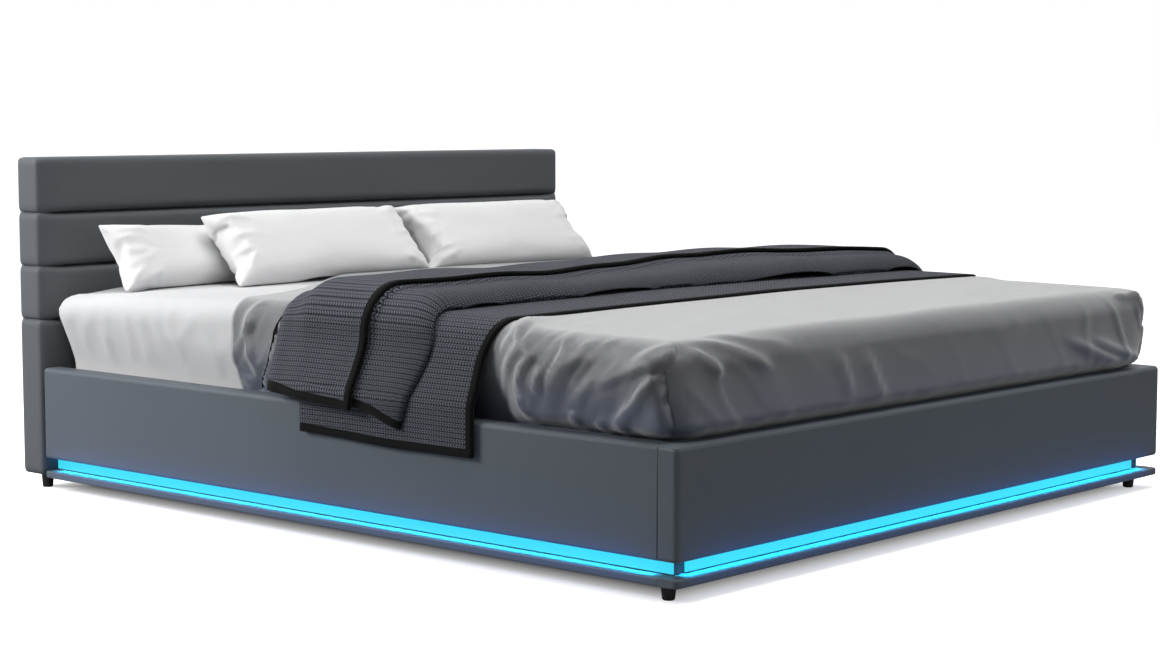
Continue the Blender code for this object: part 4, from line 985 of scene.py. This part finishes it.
def foot_corner(way, points, out, down):
    """Heights of a foot corner's envelope: the side's cloth lies over the foot's, whose edge dips."""
    x, y, z = points.T
    turn = np.degrees(np.arctan2(-out[:, 1], way * out[:, 0]))
    edge = 20 + 6 * np.sin((z - 0.32) * 30) + 30 * smooth_share((z - 0.455) / 0.045)
    near = smooth_share((-0.90 - y) / 0.10) * (np.abs(x) > 0.6) * (way * x > 0) * down
    over = 1 - smooth_share((turn - edge) / 5)
    low_end = smooth_share((z - 0.318) / 0.02)
    yield 0.016 * over * near * low_end
    yield -0.012 * (1 - over) * near * swell_about(way * x, 0.915, 0.040) * low_end
    from_tip = np.linalg.norm(points - np.array((way * 0.902, -1.012, 0.502)), axis=1)
    yield -0.010 * swell_about(from_tip, 0, 0.011)


def shape_duvet(net, low, high):
    """Rounds the cover's net over the mattress and raises its folds. Gives its points and directions."""
    points, out = round_box(net, low, high, EDGE_RADIUS + DUVET_OFFSET, open_head=True)
    points = settle(points, high[0])
    x, y, z = points.T
    under_throw = smooth_share((y - throw_line(FOOT_LINE, x) + 0.075) / 0.085)
    under_throw = under_throw * smooth_share((throw_line(HEAD_LINE, x) + 0.02 - y) / 0.02)
    free = 1 - under_throw
    down = 1 - np.abs(out[:, 2])
    above_rail = smooth_share((z - RAIL_TOP - 0.002) / 0.03)
    lift = 0.006 * above_rail
    fold = sizes().fold
    for line, height, width in DUVET_FOLDS:
        lift += crease(points, out, line, fold * height, width)
    for line, height in small_folds():
        lift += crease(points, out, line, fold * height, 0.010)
        lift += crease(points, out, [(-px, py, pz) for px, py, pz in line], fold * height, 0.012)
    for rise in cover_ripples(points, out, down, above_rail):
        lift += rise
    for way in (-1, 1):
        for rise in foot_corner(way, points, out, down):
            lift += rise
    # The cover's folded head edge stands up along its piping
    past = np.interp(z, PIPING_Z, PIPING_Y) - y
    ledge = (past > 0) * swell_about(past, 0, 0.055) * (x < -0.5) * smooth_share((0.36 - y) / 0.05)
    lift += 0.007 * ledge * smooth_share((-0.80 - x) / 0.06)
    lift = np.maximum(lift, 0)
    return points + out * (lift * free)[:, None] + bulge_over_rails(x, y, z), out


# How far the loose cover stands out over the rails at its lower corners and at the foot, and how far its
# shoulders sink there
REACH_LEFT = 0.028
REACH_RIGHT = 0.010
REACH_FOOT = 0.038
SHOULDER_SINK = 0.010


def bulge_over_rails(x, y, z):
    """How far the loose cover moves out over the rails' tops at the foot, and down at its shoulders."""
    share = np.clip((z - RAIL_TOP - 0.0085) / 0.030, 0, 1)
    over_rail = np.sqrt(1 - (1 - share) ** 2)
    loose = smooth_share((-0.575 - y) / 0.11)
    to_side = smooth_share((np.abs(x) - 0.70) / 0.22) * loose
    to_foot = smooth_share((-0.80 - y) / 0.20)
    reach = np.where(x < 0, REACH_LEFT, REACH_RIGHT)
    sink = SHOULDER_SINK * np.maximum(to_side, to_foot) * smooth_share((z - 0.42) / 0.09)
    return np.stack([np.sign(x) * reach * to_side * over_rail, -REACH_FOOT * to_foot * over_rail, -sink], 1)


def piping_strip(low, high):
    """Dark piping along the duvet's folded head edge, from the rail up to the throw."""
    bm = bmesh.new()
    bmesh.ops.create_grid(bm, x_segments=60, y_segments=2, size=0.5)
    grid = read_points(bm)
    level = RAIL_TOP + 0.004 + (grid[:, 0] + 0.5) * (high[2] - RAIL_TOP - 0.004)
    place_y = np.interp(level, PIPING_Z, PIPING_Y) + 0.001 + grid[:, 1] * 0.006
    strip = np.stack([np.full(len(grid), low[0]), place_y, level], 1)
    points, out = shape_duvet(strip, low, high)
    write_points(bm, points + out * (sizes().duvet + 0.0004))
    bmesh.ops.recalc_face_normals(bm, faces=bm.faces[:])
    if sum(face.normal.x for face in bm.faces) > 0:
        bmesh.ops.reverse_faces(bm, faces=bm.faces[:])
    return bm


class BED_OT_duvet(bpy.types.Operator):
    """The grey cover, tucked in between the mattress and the rails"""

    bl_idname = "bed.duvet"
    bl_label = "Lay the duvet"

    def execute(self, context):
        low, high = mattress_box(DUVET_OFFSET)
        low[2] = RAIL_TOP - 0.028
        flat_head = high[1] - 0.12
        ends = (high[0], flat_head, high[2])
        bm = box_skin(low, ends, (148, 160, 36), ("left", "right", "foot"), crowd=0.6, crowd_foot=0.55)
        # Past this place the net is drawn towards the slanting head edge
        fixed = MATTRESS_FOOT + 0.60
        net = read_points(bm)
        share = np.clip((net[:, 1] - fixed) / (flat_head - fixed), 0, 1)
        drawn = fixed + (duvet_head(net[:, 0]) - fixed) * share
        net[:, 1] = np.where(net[:, 1] > fixed, drawn, net[:, 1])
        write_points(bm, shape_duvet(net, low, high)[0])
        # The pale colour is the duvet's painted sheen, the last the painted blue light of the lit strip low
        # down
        satin = satin_look("duvet_satin", colours().satin, (0.37, 0.375, 0.38), (0.105, 0.126, 0.190))
        piece = finished("grey_duvet", bm, [satin], "platform")
        give_thickness(piece, sizes().duvet)
        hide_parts("duvet")

        dark = cloth_look("duvet_piping", colours().binding, 500.0, 0.8, 0.2, 0.1)
        piping = finished("duvet_piping", piping_strip(low, high), [dark], "platform")
        give_thickness(piping, 0.002)
        return {"FINISHED"}


# The throw's way down a side: round the mattress's edge, down a slope, and straight down at the rail
SLANT = math.atan2(3, 1)
BEND = 0.020
OUTER_EDGE = 0.9735
SHOULDER = EDGE_RADIUS + THROW_OFFSET
FLAT_REACH = HALF_BED + THROW_OFFSET - SHOULDER
SLOPE_ACROSS = OUTER_EDGE - FLAT_REACH - SHOULDER * math.sin(SLANT) - BEND * (1 - math.sin(SLANT))
SLOPE = SLOPE_ACROSS / math.cos(SLANT)

# The throw is bound in its outer columns and last rows of cells, this many of each
BOUND_CELLS = 2
THROW_COLUMNS = 280
# The height of the roll's crest, and the space between two layers
CREST = 0.047
LAYER_GAP = 0.0008
ROLL_THIN = 0.9

# Each layer's hem: places along the bed, and its level there
UNDER_HEM = ((-0.534, -0.322, -0.164, -0.028), (0.239, 0.237, 0.242, 0.247))
ROLL_HEM = ((-0.40, -0.317, -0.245, -0.187, 0.0), (0.268, 0.283, 0.309, 0.321, 0.333))
UPPER_HEM = ((-0.276, -0.148, 0.001, 0.128), (0.305, 0.317, 0.326, 0.334))


def bed_point(travel, y, height):
    """A point over the bed: travel across from its middle line, y along, height over the duvet."""
    far = np.abs(travel)
    angle = np.clip((far - FLAT_REACH) / SHOULDER, 0, SLANT)
    x = np.minimum(far, FLAT_REACH) + SHOULDER * np.sin(angle)
    z = MATTRESS_TOP + THROW_OFFSET - SHOULDER * (1 - np.cos(angle))
    left = np.maximum(far - FLAT_REACH - SHOULDER * SLANT, 0)
    along = np.minimum(left, SLOPE)
    x = x + along * math.cos(SLANT)
    z = z - along * math.sin(SLANT)
    left = np.maximum(left - SLOPE, 0)
    turn = np.clip(left / BEND, 0, math.pi / 2 - SLANT)
    angle = angle + turn
    x = x + BEND * (np.sin(SLANT + turn) - math.sin(SLANT))
    z = z - BEND * (math.cos(SLANT) - np.cos(SLANT + turn))
    z = z - np.maximum(left - BEND * (math.pi / 2 - SLANT), 0)
    z = z + crown_at(x, y) * upper_half(z)
    return np.stack([np.sign(travel) * (x + height * np.sin(angle)), y, z + height * np.cos(angle)], 1)


def travel_to(level):
    """How far across the bed the throw's way reaches a level on its way down."""
    knee = MATTRESS_TOP + THROW_OFFSET - SHOULDER * (1 - math.cos(SLANT)) - SLOPE * math.sin(SLANT)
    foot = knee - BEND * math.cos(SLANT)
    return FLAT_REACH + SHOULDER * SLANT + SLOPE + BEND * (math.pi / 2 - SLANT) + foot - level


def hanging(travel):
    """From 0 on top of the bed to 1 where the cloth hangs."""
    return smooth_share((np.abs(travel) - 0.88) / 0.12)


def throw_layer(name, looks, rows, edge_y, loft, hem, bound_foot=True):
    """One layer of the throw, from its head edge to its foot edge.

    edge_y gives y over (x, share along, travel), and loft the height over (y, share along, travel). The
    hems are bound, and so is the foot edge where bound_foot says so.
    """
    bound = sizes().binding
    bm = bmesh.new()
    bmesh.ops.create_grid(bm, x_segments=THROW_COLUMNS, y_segments=rows, size=0.5)
    grid = read_points(bm)
    across, along = grid[:, 0] * 2, grid[:, 1] + 0.5
    inner = 1 - 2 * BOUND_CELLS / THROW_COLUMNS
    row_share = 1 - BOUND_CELLS / rows

    # The bound rows are as wide as the binding
    x = np.clip(across * 1.16, -1, 1) * HALF_BASE
    none = np.zeros(len(x))
    length = np.abs(edge_y(x, none + 1, none) - edge_y(x, none, none))
    bound_share = np.minimum(bound / length, 0.3) if bound_foot else 1 - row_share
    free_along = along / row_share * (1 - bound_share)
    bound_along = 1 - (1 - along) / (1 - row_share) * bound_share
    along = np.where(along <= row_share, free_along, bound_along)

    # The bound columns are as wide as the binding, and end at the hem's level
    reach = travel_to(np.interp(edge_y(x, along, across * 1.2), *hem))
    far = np.abs(across)
    free_travel = far / inner * (reach - bound)
    bound_travel = reach - (1 - far) / (1 - inner) * bound
    travel = np.where(far <= inner, free_travel, bound_travel) * np.sign(across)
    y = edge_y(x, along, travel)
    write_points(bm, bed_point(travel, y, loft(y, along, travel)))

    bm.verts.index_update()
    layer = bm.loops.layers.uv.new("cloth")
    flat_y = -along * length
    for face in bm.faces:
        spots = [vert.index for vert in face.verts]
        for loop in face.loops:
            i = loop.vert.index
            loop[layer].uv = (flat_y[i], travel[i])
        middle_far = sum(far[i] for i in spots) / 4
        middle_row = sum(grid[i, 1] for i in spots) / 4 + 0.5
        if middle_far > inner or (bound_foot and middle_row > row_share):
            face.material_index = 1
    bmesh.ops.recalc_face_normals(bm, faces=bm.faces[:])
    top = [face for face in bm.faces if abs(face.calc_center_median().x) < 0.1]
    if top and top[0].normal.z < 0:
        bmesh.ops.reverse_faces(bm, faces=bm.faces[:])
    return finished(name, bm, looks, "platform")


def wave_at(x, seed, size):
    """Slow waves of an edge across the bed."""
    return size * (np.sin(x * 6.1 + seed) + 0.6 * np.sin(x * 14.3 + 2.3 * seed))


def upper_edge(x, travel):
    """Y of the upper layer's foot edge."""
    edge = np.interp(x, *UPPER_EDGE) + wave_at(x, 3.1, 0.003)
    return edge + 0.022 * smooth_share((np.abs(travel) - 0.97) / 0.2)


def front_of_roll(x, travel):
    """Y of the roll's front, which slants where the throw hangs."""
    slant = 0.075 * smooth_share((np.abs(travel) - 0.93) / 0.25) - 0.030 * hanging(travel)
    return throw_line(ROLL_LINE, x) + wave_at(x, 1.9, 0.006) + slant


def height_of_roll(y, travel):
    """Height of the roll's underside over the lower layer, from its head side to its front."""
    x = np.clip(travel, -HALF_BASE, HALF_BASE)
    head, top, front = throw_line(HEAD_LINE, x), throw_line(CREST_LINE, x), front_of_roll(x, travel)
    climb = (head - y) / (head - top)
    rise = 0.22 * np.clip(climb / 0.35, 0, 1) + 0.78 * smooth_share((climb - 0.30) / 0.75)
    fall = np.clip((front + 0.060 - y) / 0.060, 0, 1)
    round_front = np.sqrt(np.maximum(1 - fall * fall, 0))
    dips = 1 + 0.09 * np.sin(x * 8.0 + 1) + 0.05 * np.sin(x * 19.0) + 0.28 * swell_about(x, 0.45, 0.25)
    step = upper_edge(x, travel) - y
    dips = dips - 0.20 * smooth_share((step - 0.004) / 0.016)
    low = sizes().throw + 2 * LAYER_GAP
    share = 1 - 0.62 * hanging(travel)
    height = low * smooth_share(climb / 0.3 + 0.2) + (CREST - low) * rise * round_front * share * dips
    return np.maximum(height, LAYER_GAP)


def under_y(x, along, travel):
    start = throw_line(CREST_LINE, x) + 0.02
    end = throw_line(FOOT_LINE, x) + wave_at(x, 0.6, 0.004) + 0.030 * (hanging(travel) - 0.7)
    return start + (end - start) * along


def under_loft(y, along, travel):
    ripple = 0.0012 * (1 + np.sin(y * 26 + np.abs(travel) * 7))
    return 0.0004 + ripple * hanging(travel)


def roll_y(x, along, travel):
    start = throw_line(HEAD_LINE, x) - 0.012
    end = front_of_roll(x, travel)
    return start + (end - start) * (1 - (1 - along) ** 1.6)


def roll_loft(y, along, travel):
    return height_of_roll(y, travel)


def upper_y(x, along, travel):
    start = throw_line(HEAD_LINE, x)
    return start + (upper_edge(x, travel) - start) * along


def upper_loft(y, along, travel):
    lip = 0.003 * smooth_share((along - 0.85) / 0.15)
    return height_of_roll(y, travel) + sizes().throw * ROLL_THIN + LAYER_GAP + lip


class BED_OT_throw(bpy.types.Operator):
    """The knitted throw: three layers across the bed, hanging over both rails"""

    bl_idname = "bed.throw"
    bl_label = "Fold the throw"

    def execute(self, context):
        knit = knit_look("throw_knit", colours().yarn, sizes().stitch)
        edge = cloth_look("throw_binding", colours().binding, 500.0, 0.9, 0.2, 0.03, 0.1)
        looks = [knit, edge]
        thick = sizes().throw

        under = throw_layer("throw_under", looks, 70, under_y, under_loft, UNDER_HEM)
        give_thickness(under, thick)
        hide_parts("throw")

        roll = throw_layer("throw_roll", looks, 110, roll_y, roll_loft, ROLL_HEM, bound_foot=False)
        give_thickness(roll, thick * ROLL_THIN)

        upper = throw_layer("throw_upper", looks, 70, upper_y, upper_loft, UPPER_HEM)
        give_thickness(upper, thick)
        return {"FINISHED"}


# Each pillow's middle across, its lower and upper edges' distances from the headboard, the upper edge's
# rise over the sheet, its thickness, and how far its upper edge sags between its corners
PILLOWS = {
    "pillow_front_left": (-0.290, 0.365, 0.200, 0.190, 0.110, 0.0),
    "pillow_front_right": (0.385, 0.365, 0.200, 0.190, 0.110, 0.0),
    "pillow_back_left": (-0.530, 0.212, 0.100, 0.170, 0.095, 0.014),
    "pillow_back_right": (0.550, 0.208, 0.055, 0.105, 0.100, 0.0),
}
PILLOW_WIDTH = 0.66
PILLOW_SEAM = 0.006
# How far the duvet's top stands over the sheet, and a pillow's underside over either
DUVET_RISE = 0.0085
PILLOW_GAP = 0.0025
# How far the cloth may move from the sewn shape, and how much further at the pillow's ends
CREASE_DEPTH, END_CREASE_DEPTH = 0.004, 0.008
CLOTH = {
    "quality": 6,
    "mass": 0.2,
    "tension_stiffness": 25,
    "compression_stiffness": 25,
    "shear_stiffness": 8,
    "bending_stiffness": 0.15,
    "shrink_min": -0.07,
    "use_pressure": True,
}


def bed_surface(x, y):
    """How high a pillow rests: on the sheet, or on the duvet past its head edge."""
    past = y - duvet_head(x) - 0.062
    return SHEET_TOP + PILLOW_GAP + DUVET_RISE * (1 - smooth_share(past / 0.062)) + crown_at(x, y)


def gathers(width, height, seed):
    """Short creases from a pillow's two ends inwards, each a line of points."""
    for number in range(14):
        way = -1 if number % 2 else 1
        start = math.sin(number * 2.9 + seed) * 0.42 * height
        reach = 0.045 + 0.035 * math.sin(number * 1.3 + seed * 2)
        bend = 0.30 * start + 0.012 * math.sin(number * 5.1)
        yield (
            (way * width * 0.490, start, 0),
            (way * (width * 0.47 - reach * 0.5), start - bend * 0.4, 0),
            (way * (width * 0.45 - reach), start - bend, 0),
        )


def sewn_pillow(width, height, thickness, seed):
    """A filled case with its seam all round, its sides a little drawn in and its corners pointed."""
    bm = bmesh.new()
    cell = sizes().pillow_cell
    columns, rows = round(width / cell), round(height / cell)
    bmesh.ops.create_grid(bm, x_segments=columns, y_segments=rows, size=1)
    layer = bm.loops.layers.uv.new("cloth")
    for face in bm.faces:
        for loop in face.loops:
            loop[layer].uv = (loop.vert.co.x * width / 2, loop.vert.co.y * height / 2)
    made = bmesh.ops.extrude_face_region(bm, geom=bm.faces[:])
    lifted = [item for item in made["geom"] if isinstance(item, bmesh.types.BMVert)]
    bmesh.ops.translate(bm, verts=lifted, vec=(0, 0, 1))
    unit = read_points(bm)
    u, v, side = unit[:, 0], unit[:, 1], unit[:, 2] * 2 - 1
    puff = np.maximum((1 - np.abs(u) ** 3) * (1 - np.abs(v) ** 3), 0) ** 0.5
    swell = PILLOW_SEAM / 2 + (thickness - PILLOW_SEAM) / 2 * puff
    swell += 0.004 * noise_at(unit, (2.2, 1.3, 9.0), seed) * puff
    end = smooth_share((np.abs(u) - 0.5) / 0.4)
    swell += 0.0040 * ridged_at(unit, (7.0, 3.0, 9.0), seed + 5, 2.6) * end * puff
    flat = np.stack([u * width / 2, v * height / 2, 0 * u], 1)
    upright = np.tile((0.0, 0.0, 1.0), (len(u), 1))
    for line in gathers(width, height, seed):
        swell += crease(flat, upright, line, 0.0075, 0.007) * np.minimum(puff * 2.5, 1)
    narrow = 1 - 0.030 * (1 - v * v)
    low = 1 - 0.045 * (1 - u * u) ** 2
    write_points(bm, np.stack([u * narrow * width / 2, v * low * height / 2, side * swell], 1))
    bmesh.ops.recalc_face_normals(bm, faces=bm.faces[:])
    return bm, unit


def fill_pillow(name, bm, unit):
    """Lets the case crease as cloth under the pressure of its filling. Gives its points."""
    start = read_points(bm)
    scene = bpy.context.scene
    mesh = bpy.data.meshes.new(name + "_case")
    bm.to_mesh(mesh)
    case = bpy.data.objects.new(name + "_case", mesh)
    scene.collection.objects.link(case)
    cloth = case.modifiers.new("cloth", "CLOTH")
    for label, value in CLOTH.items():
        setattr(cloth.settings, label, value)
    cloth.settings.uniform_pressure_force = sizes().pillow_pressure
    cloth.settings.effector_weights.gravity = 0
    cloth.collision_settings.use_collision = False
    cloth.point_cache.frame_start = 1
    cloth.point_cache.frame_end = sizes().frames
    for step in range(1, sizes().frames + 1):
        scene.frame_set(step)
    seen = case.evaluated_get(bpy.context.evaluated_depsgraph_get())
    filled = bmesh.new()
    filled.from_mesh(seen.to_mesh())
    move = read_points(filled) - start
    filled.free()
    scene.frame_set(1)
    bpy.data.objects.remove(case)
    length = np.maximum(np.linalg.norm(move, axis=1), 1e-9)
    end = smooth_share((np.abs(unit[:, 0]) - 0.45) / 0.45)
    cap = CREASE_DEPTH + END_CREASE_DEPTH * end
    return start + move * (np.minimum(length, cap) / length)[:, None]


def lean_pillow(name, seed, look):
    """A pillow, filled and leaned against what is behind it."""
    middle_x, lower, upper, rise, thickness, sag = PILLOWS[name]
    first = np.array((0, HEADBOARD_FRONT - lower, SHEET_TOP + PILLOW_SEAM / 2))
    last = np.array((0, HEADBOARD_FRONT - upper, SHEET_TOP + rise))
    up = last - first
    height = np.linalg.norm(up)
    up /= height
    face = np.array((0, -up[2], up[1]))
    bm, unit = sewn_pillow(PILLOW_WIDTH, height, thickness, seed)
    local = fill_pillow(name, bm, unit)
    local[:, 1] -= sag * (1 - unit[:, 0] ** 2) * smooth_share(unit[:, 1])
    spots = (first + last) / 2 + local[:, 1:2] * up + local[:, 2:3] * face
    spots[:, 0] = middle_x + local[:, 0]
    rest = bed_surface(spots[:, 0], spots[:, 1]) + unit[:, 2] * PILLOW_SEAM / 2
    spots[:, 2] = np.maximum(spots[:, 2], rest)
    write_points(bm, spots)
    bmesh.ops.recalc_face_normals(bm, faces=bm.faces[:])
    piece = finished(name + "_cushion", bm, [look], "platform")
    finer = piece.modifiers.new("finer", "SUBSURF")
    finer.levels = finer.render_levels = 1
    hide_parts(name)


class BED_OT_pillows(bpy.types.Operator):
    """Four white pillows, filled as cloth and leaned against the headboard"""

    bl_idname = "bed.pillows"
    bl_label = "Fill the pillows"

    def execute(self, context):
        linen = cloth_look("pillow_linen", colours().pillow, 900.0, 0.72, 0.04, 0.15, waves=2.0)
        for number, name in enumerate(PILLOWS):
            lean_pillow(name, number * 3.7 + 1, linen)
        return {"FINISHED"}


# Studio

# The camera, as worked out from the straight edges that the photograph shows, and its turn in degrees
LENS = 71.04
CAMERA_PLACE = (-4.3544, -3.869, 0.9534)
CAMERA_PITCH = -5.347
CAMERA_YAW = -48.112

# The big lamps: name, place, target, size in metres and power in watts
LAMPS = (
    ("key", (-3.2, 2.2, 1.8), (-0.9, 0.0, 0.3), (1.6, 1.2), 120),
    ("top", (-0.3, -0.8, 5.0), (0, 0, 0.4), (4.0, 4.0), 240),
    ("fill", (0.8, -5.0, 1.6), (0.2, -1.0, 0.35), (2.0, 1.2), 28),
)
# The strip's light on the plinth, and on the rails and the floor beside it
CHANNEL_COLOUR = (0.02, 0.55, 1.0)
CHANNEL_WIDTH = 0.030
CHANNEL_POWER = 5.0
CHANNEL_SPREAD = math.radians(70)
SPILL_COLOUR = (0.0, 0.25, 1.0)
SPILL_WIDTH = 0.012
SPILL_OUT, SPILL_LEVEL = 0.035, 0.060
SPILL_AIM_IN, SPILL_AIM_LEVEL = 0.1, 0.14

# The floor's glow for the camera rises from inside the plinth's edge to past it, into the white backdrop,
# leaving a painted shadow under the plinth
FLOOR_SIZE = 60
PAINTED_SHADOW_FROM, PAINTED_SHADOW_TO = -0.140, 0.055
PAINTED_SHADOW_GLOW = 0.02
BACKDROP_LIGHT = 0.10


def soft_lamp(name, place, target, size, power, colour=(1, 1, 1)):
    """A flat lamp at a place, turned towards its target and not seen by the camera."""
    data = bpy.data.lights.new(name, "AREA")
    data.shape = "RECTANGLE"
    data.size, data.size_y = size
    data.energy = power
    data.color = colour
    lamp = bpy.data.objects.new(name, data)
    lamp.location = place
    lamp.rotation_euler = (Vector(target) - Vector(place)).to_track_quat("-Z", "Y").to_euler()
    bpy.context.scene.collection.objects.link(lamp)
    lamp.visible_camera = False
    return lamp


def place_camera(scene):
    data = bpy.data.cameras.new("camera")
    data.lens = LENS
    data.sensor_width = 36
    data.clip_end = 200
    camera = bpy.data.objects.new("camera", data)
    camera.location = CAMERA_PLACE
    camera.rotation_euler = (math.radians(90 + CAMERA_PITCH), 0, math.radians(CAMERA_YAW))
    scene.collection.objects.link(camera)
    scene.camera = camera


def lay_floor():
    """A pale floor that glows for the camera alone, with a painted shadow under the plinth where the glow
    fades.
    """
    look, tree, shader, place = new_look("pale_floor", 0.9, Specular_IOR_Level=0.1)
    rays = add(tree, "ShaderNodeLightPath", {})
    bright = maths(tree, "MULTIPLY_ADD", rays["Is Camera Ray"], 0.52, 0.28)
    dust = clouds(tree, place["Object"], 2.0)
    tone = maths(tree, "MULTIPLY_ADD", dust, 0.01, bright)
    spot = axes(tree, place["Object"])
    side_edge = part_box("plinth_left")[0].x
    foot_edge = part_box("plinth_foot")[0].y
    past_side = maths(tree, "ADD", maths(tree, "ABSOLUTE", spot[0]), side_edge)
    past_foot = maths(tree, "ADD", maths(tree, "ABSOLUTE", spot[1]), foot_edge)
    away = maths(tree, "MAXIMUM", past_side, past_foot)
    # Painted shadow: the glow is low under the plinth and rises to white past its edge
    far = ramp(tree, away, PAINTED_SHADOW_FROM, PAINTED_SHADOW_TO, PAINTED_SHADOW_GLOW, 1.0)
    seen = maths(tree, "MAXIMUM", rays["Is Camera Ray"], rays["Is Transmission Ray"])
    shine = grey(tree, maths(tree, "MULTIPLY", seen, far))
    connect(tree, shader, {"Base Color": grey(tree, tone), "Emission Color": shine, "Emission Strength": 1})
    bm = bmesh.new()
    bmesh.ops.create_grid(bm, x_segments=1, y_segments=1, size=FLOOR_SIZE)
    finished("floor", bm, [look], None, smooth=False)


def light_channel(place, size, spill_place, spill_target, spill_size, spill_power):
    """The light of one lit strip: straight down on the plinth, and faint on what is above and beside."""
    below = (place[0], place[1], 0)
    lamp = soft_lamp("channel", place, below, size, CHANNEL_POWER, CHANNEL_COLOUR)
    lamp.data.spread = CHANNEL_SPREAD
    soft_lamp("spill", spill_place, spill_target, spill_size, spill_power, SPILL_COLOUR)


def light_strips():
    """Lamps for the lit strips of both sides and of the foot."""
    low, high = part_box("plinth_left")
    foot_low, foot_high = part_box("plinth_foot")
    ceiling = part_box("side_rail_left_cover")[0].z - 0.001
    length = high.y - low.y - 0.05
    middle = (high.y + low.y) / 2
    for way in (-1, 1):
        out = way * abs(low.x)
        light_channel(
            (out - way * CHANNEL_WIDTH, middle, ceiling),
            (CHANNEL_WIDTH, length),
            (out + way * SPILL_OUT, middle, SPILL_LEVEL),
            (out - way * SPILL_AIM_IN, middle, SPILL_AIM_LEVEL),
            (length, SPILL_WIDTH),
            0.5,
        )
    width = foot_high.x - foot_low.x - 0.10
    light_channel(
        (0, foot_low.y + CHANNEL_WIDTH, ceiling),
        (width, CHANNEL_WIDTH),
        (0, foot_low.y - SPILL_OUT, SPILL_LEVEL),
        (0, foot_low.y + SPILL_AIM_IN, SPILL_AIM_LEVEL),
        (width, SPILL_WIDTH),
        0.4,
    )


def paint_backdrop(scene):
    """A world that is white to the camera and in reflections, and faint as a light."""
    world = bpy.data.worlds.new("studio")
    scene.world = world
    world.use_nodes = True
    tree = world.node_tree
    rays = add(tree, "ShaderNodeLightPath", {})
    straight = maths(tree, "MAXIMUM", rays["Is Camera Ray"], rays["Is Transmission Ray"])
    shown = maths(tree, "MAXIMUM", straight, rays["Is Glossy Ray"])
    strength = maths(tree, "MAXIMUM", shown, BACKDROP_LIGHT)
    connect(tree, tree.nodes["Background"], {"Color": (1, 1, 1, 1), "Strength": strength})


class BED_OT_stage(bpy.types.Operator):
    """Pale floor, soft lamps, white backdrop and the camera"""

    bl_idname = "bed.stage"
    bl_label = "Set the stage"

    def execute(self, context):
        scene = context.scene
        scene.view_settings.view_transform = "Standard"
        place_camera(scene)
        lay_floor()
        for lamp in LAMPS:
            soft_lamp(*lamp)
        light_strips()
        paint_backdrop(scene)
        return {"FINISHED"}


class BED_PT_parts(bpy.types.Panel):
    """Lists the bed's pieces and settings in the sidebar"""

    bl_label = "Leather bed"
    bl_idname = "BED_PT_parts"
    bl_space_type = "VIEW_3D"
    bl_region_type = "UI"
    bl_category = "Bed"

    def draw(self, context):
        for operator in OPERATORS:
            self.layout.operator(operator.bl_idname)
        for settings in (context.scene.bed_colours, context.scene.bed_sizes):
            box = self.layout.box()
            for name in settings.__annotations__:
                box.prop(settings, name)


OPERATORS = (
    BED_OT_base,
    BED_OT_fixings,
    BED_OT_light,
    BED_OT_headboard,
    BED_OT_mattress,
    BED_OT_duvet,
    BED_OT_throw,
    BED_OT_pillows,
    BED_OT_stage,
)
CLASSES = (BedColours, BedSizes, *OPERATORS, BED_PT_parts)


def register():
    for item in CLASSES:
        bpy.utils.register_class(item)
    bpy.types.Scene.bed_colours = PointerProperty(type=BedColours)
    bpy.types.Scene.bed_sizes = PointerProperty(type=BedSizes)


def unregister():
    del bpy.types.Scene.bed_sizes
    del bpy.types.Scene.bed_colours
    for item in reversed(CLASSES):
        bpy.utils.unregister_class(item)


def main():
    register()
    bpy.ops.bed.base()
    bpy.ops.bed.fixings()
    bpy.ops.bed.light()
    bpy.ops.bed.headboard()
    bpy.ops.bed.mattress()
    bpy.ops.bed.duvet()
    bpy.ops.bed.throw()
    bpy.ops.bed.pillows()
    bpy.ops.bed.stage()


if __name__ == "__main__":
    main()
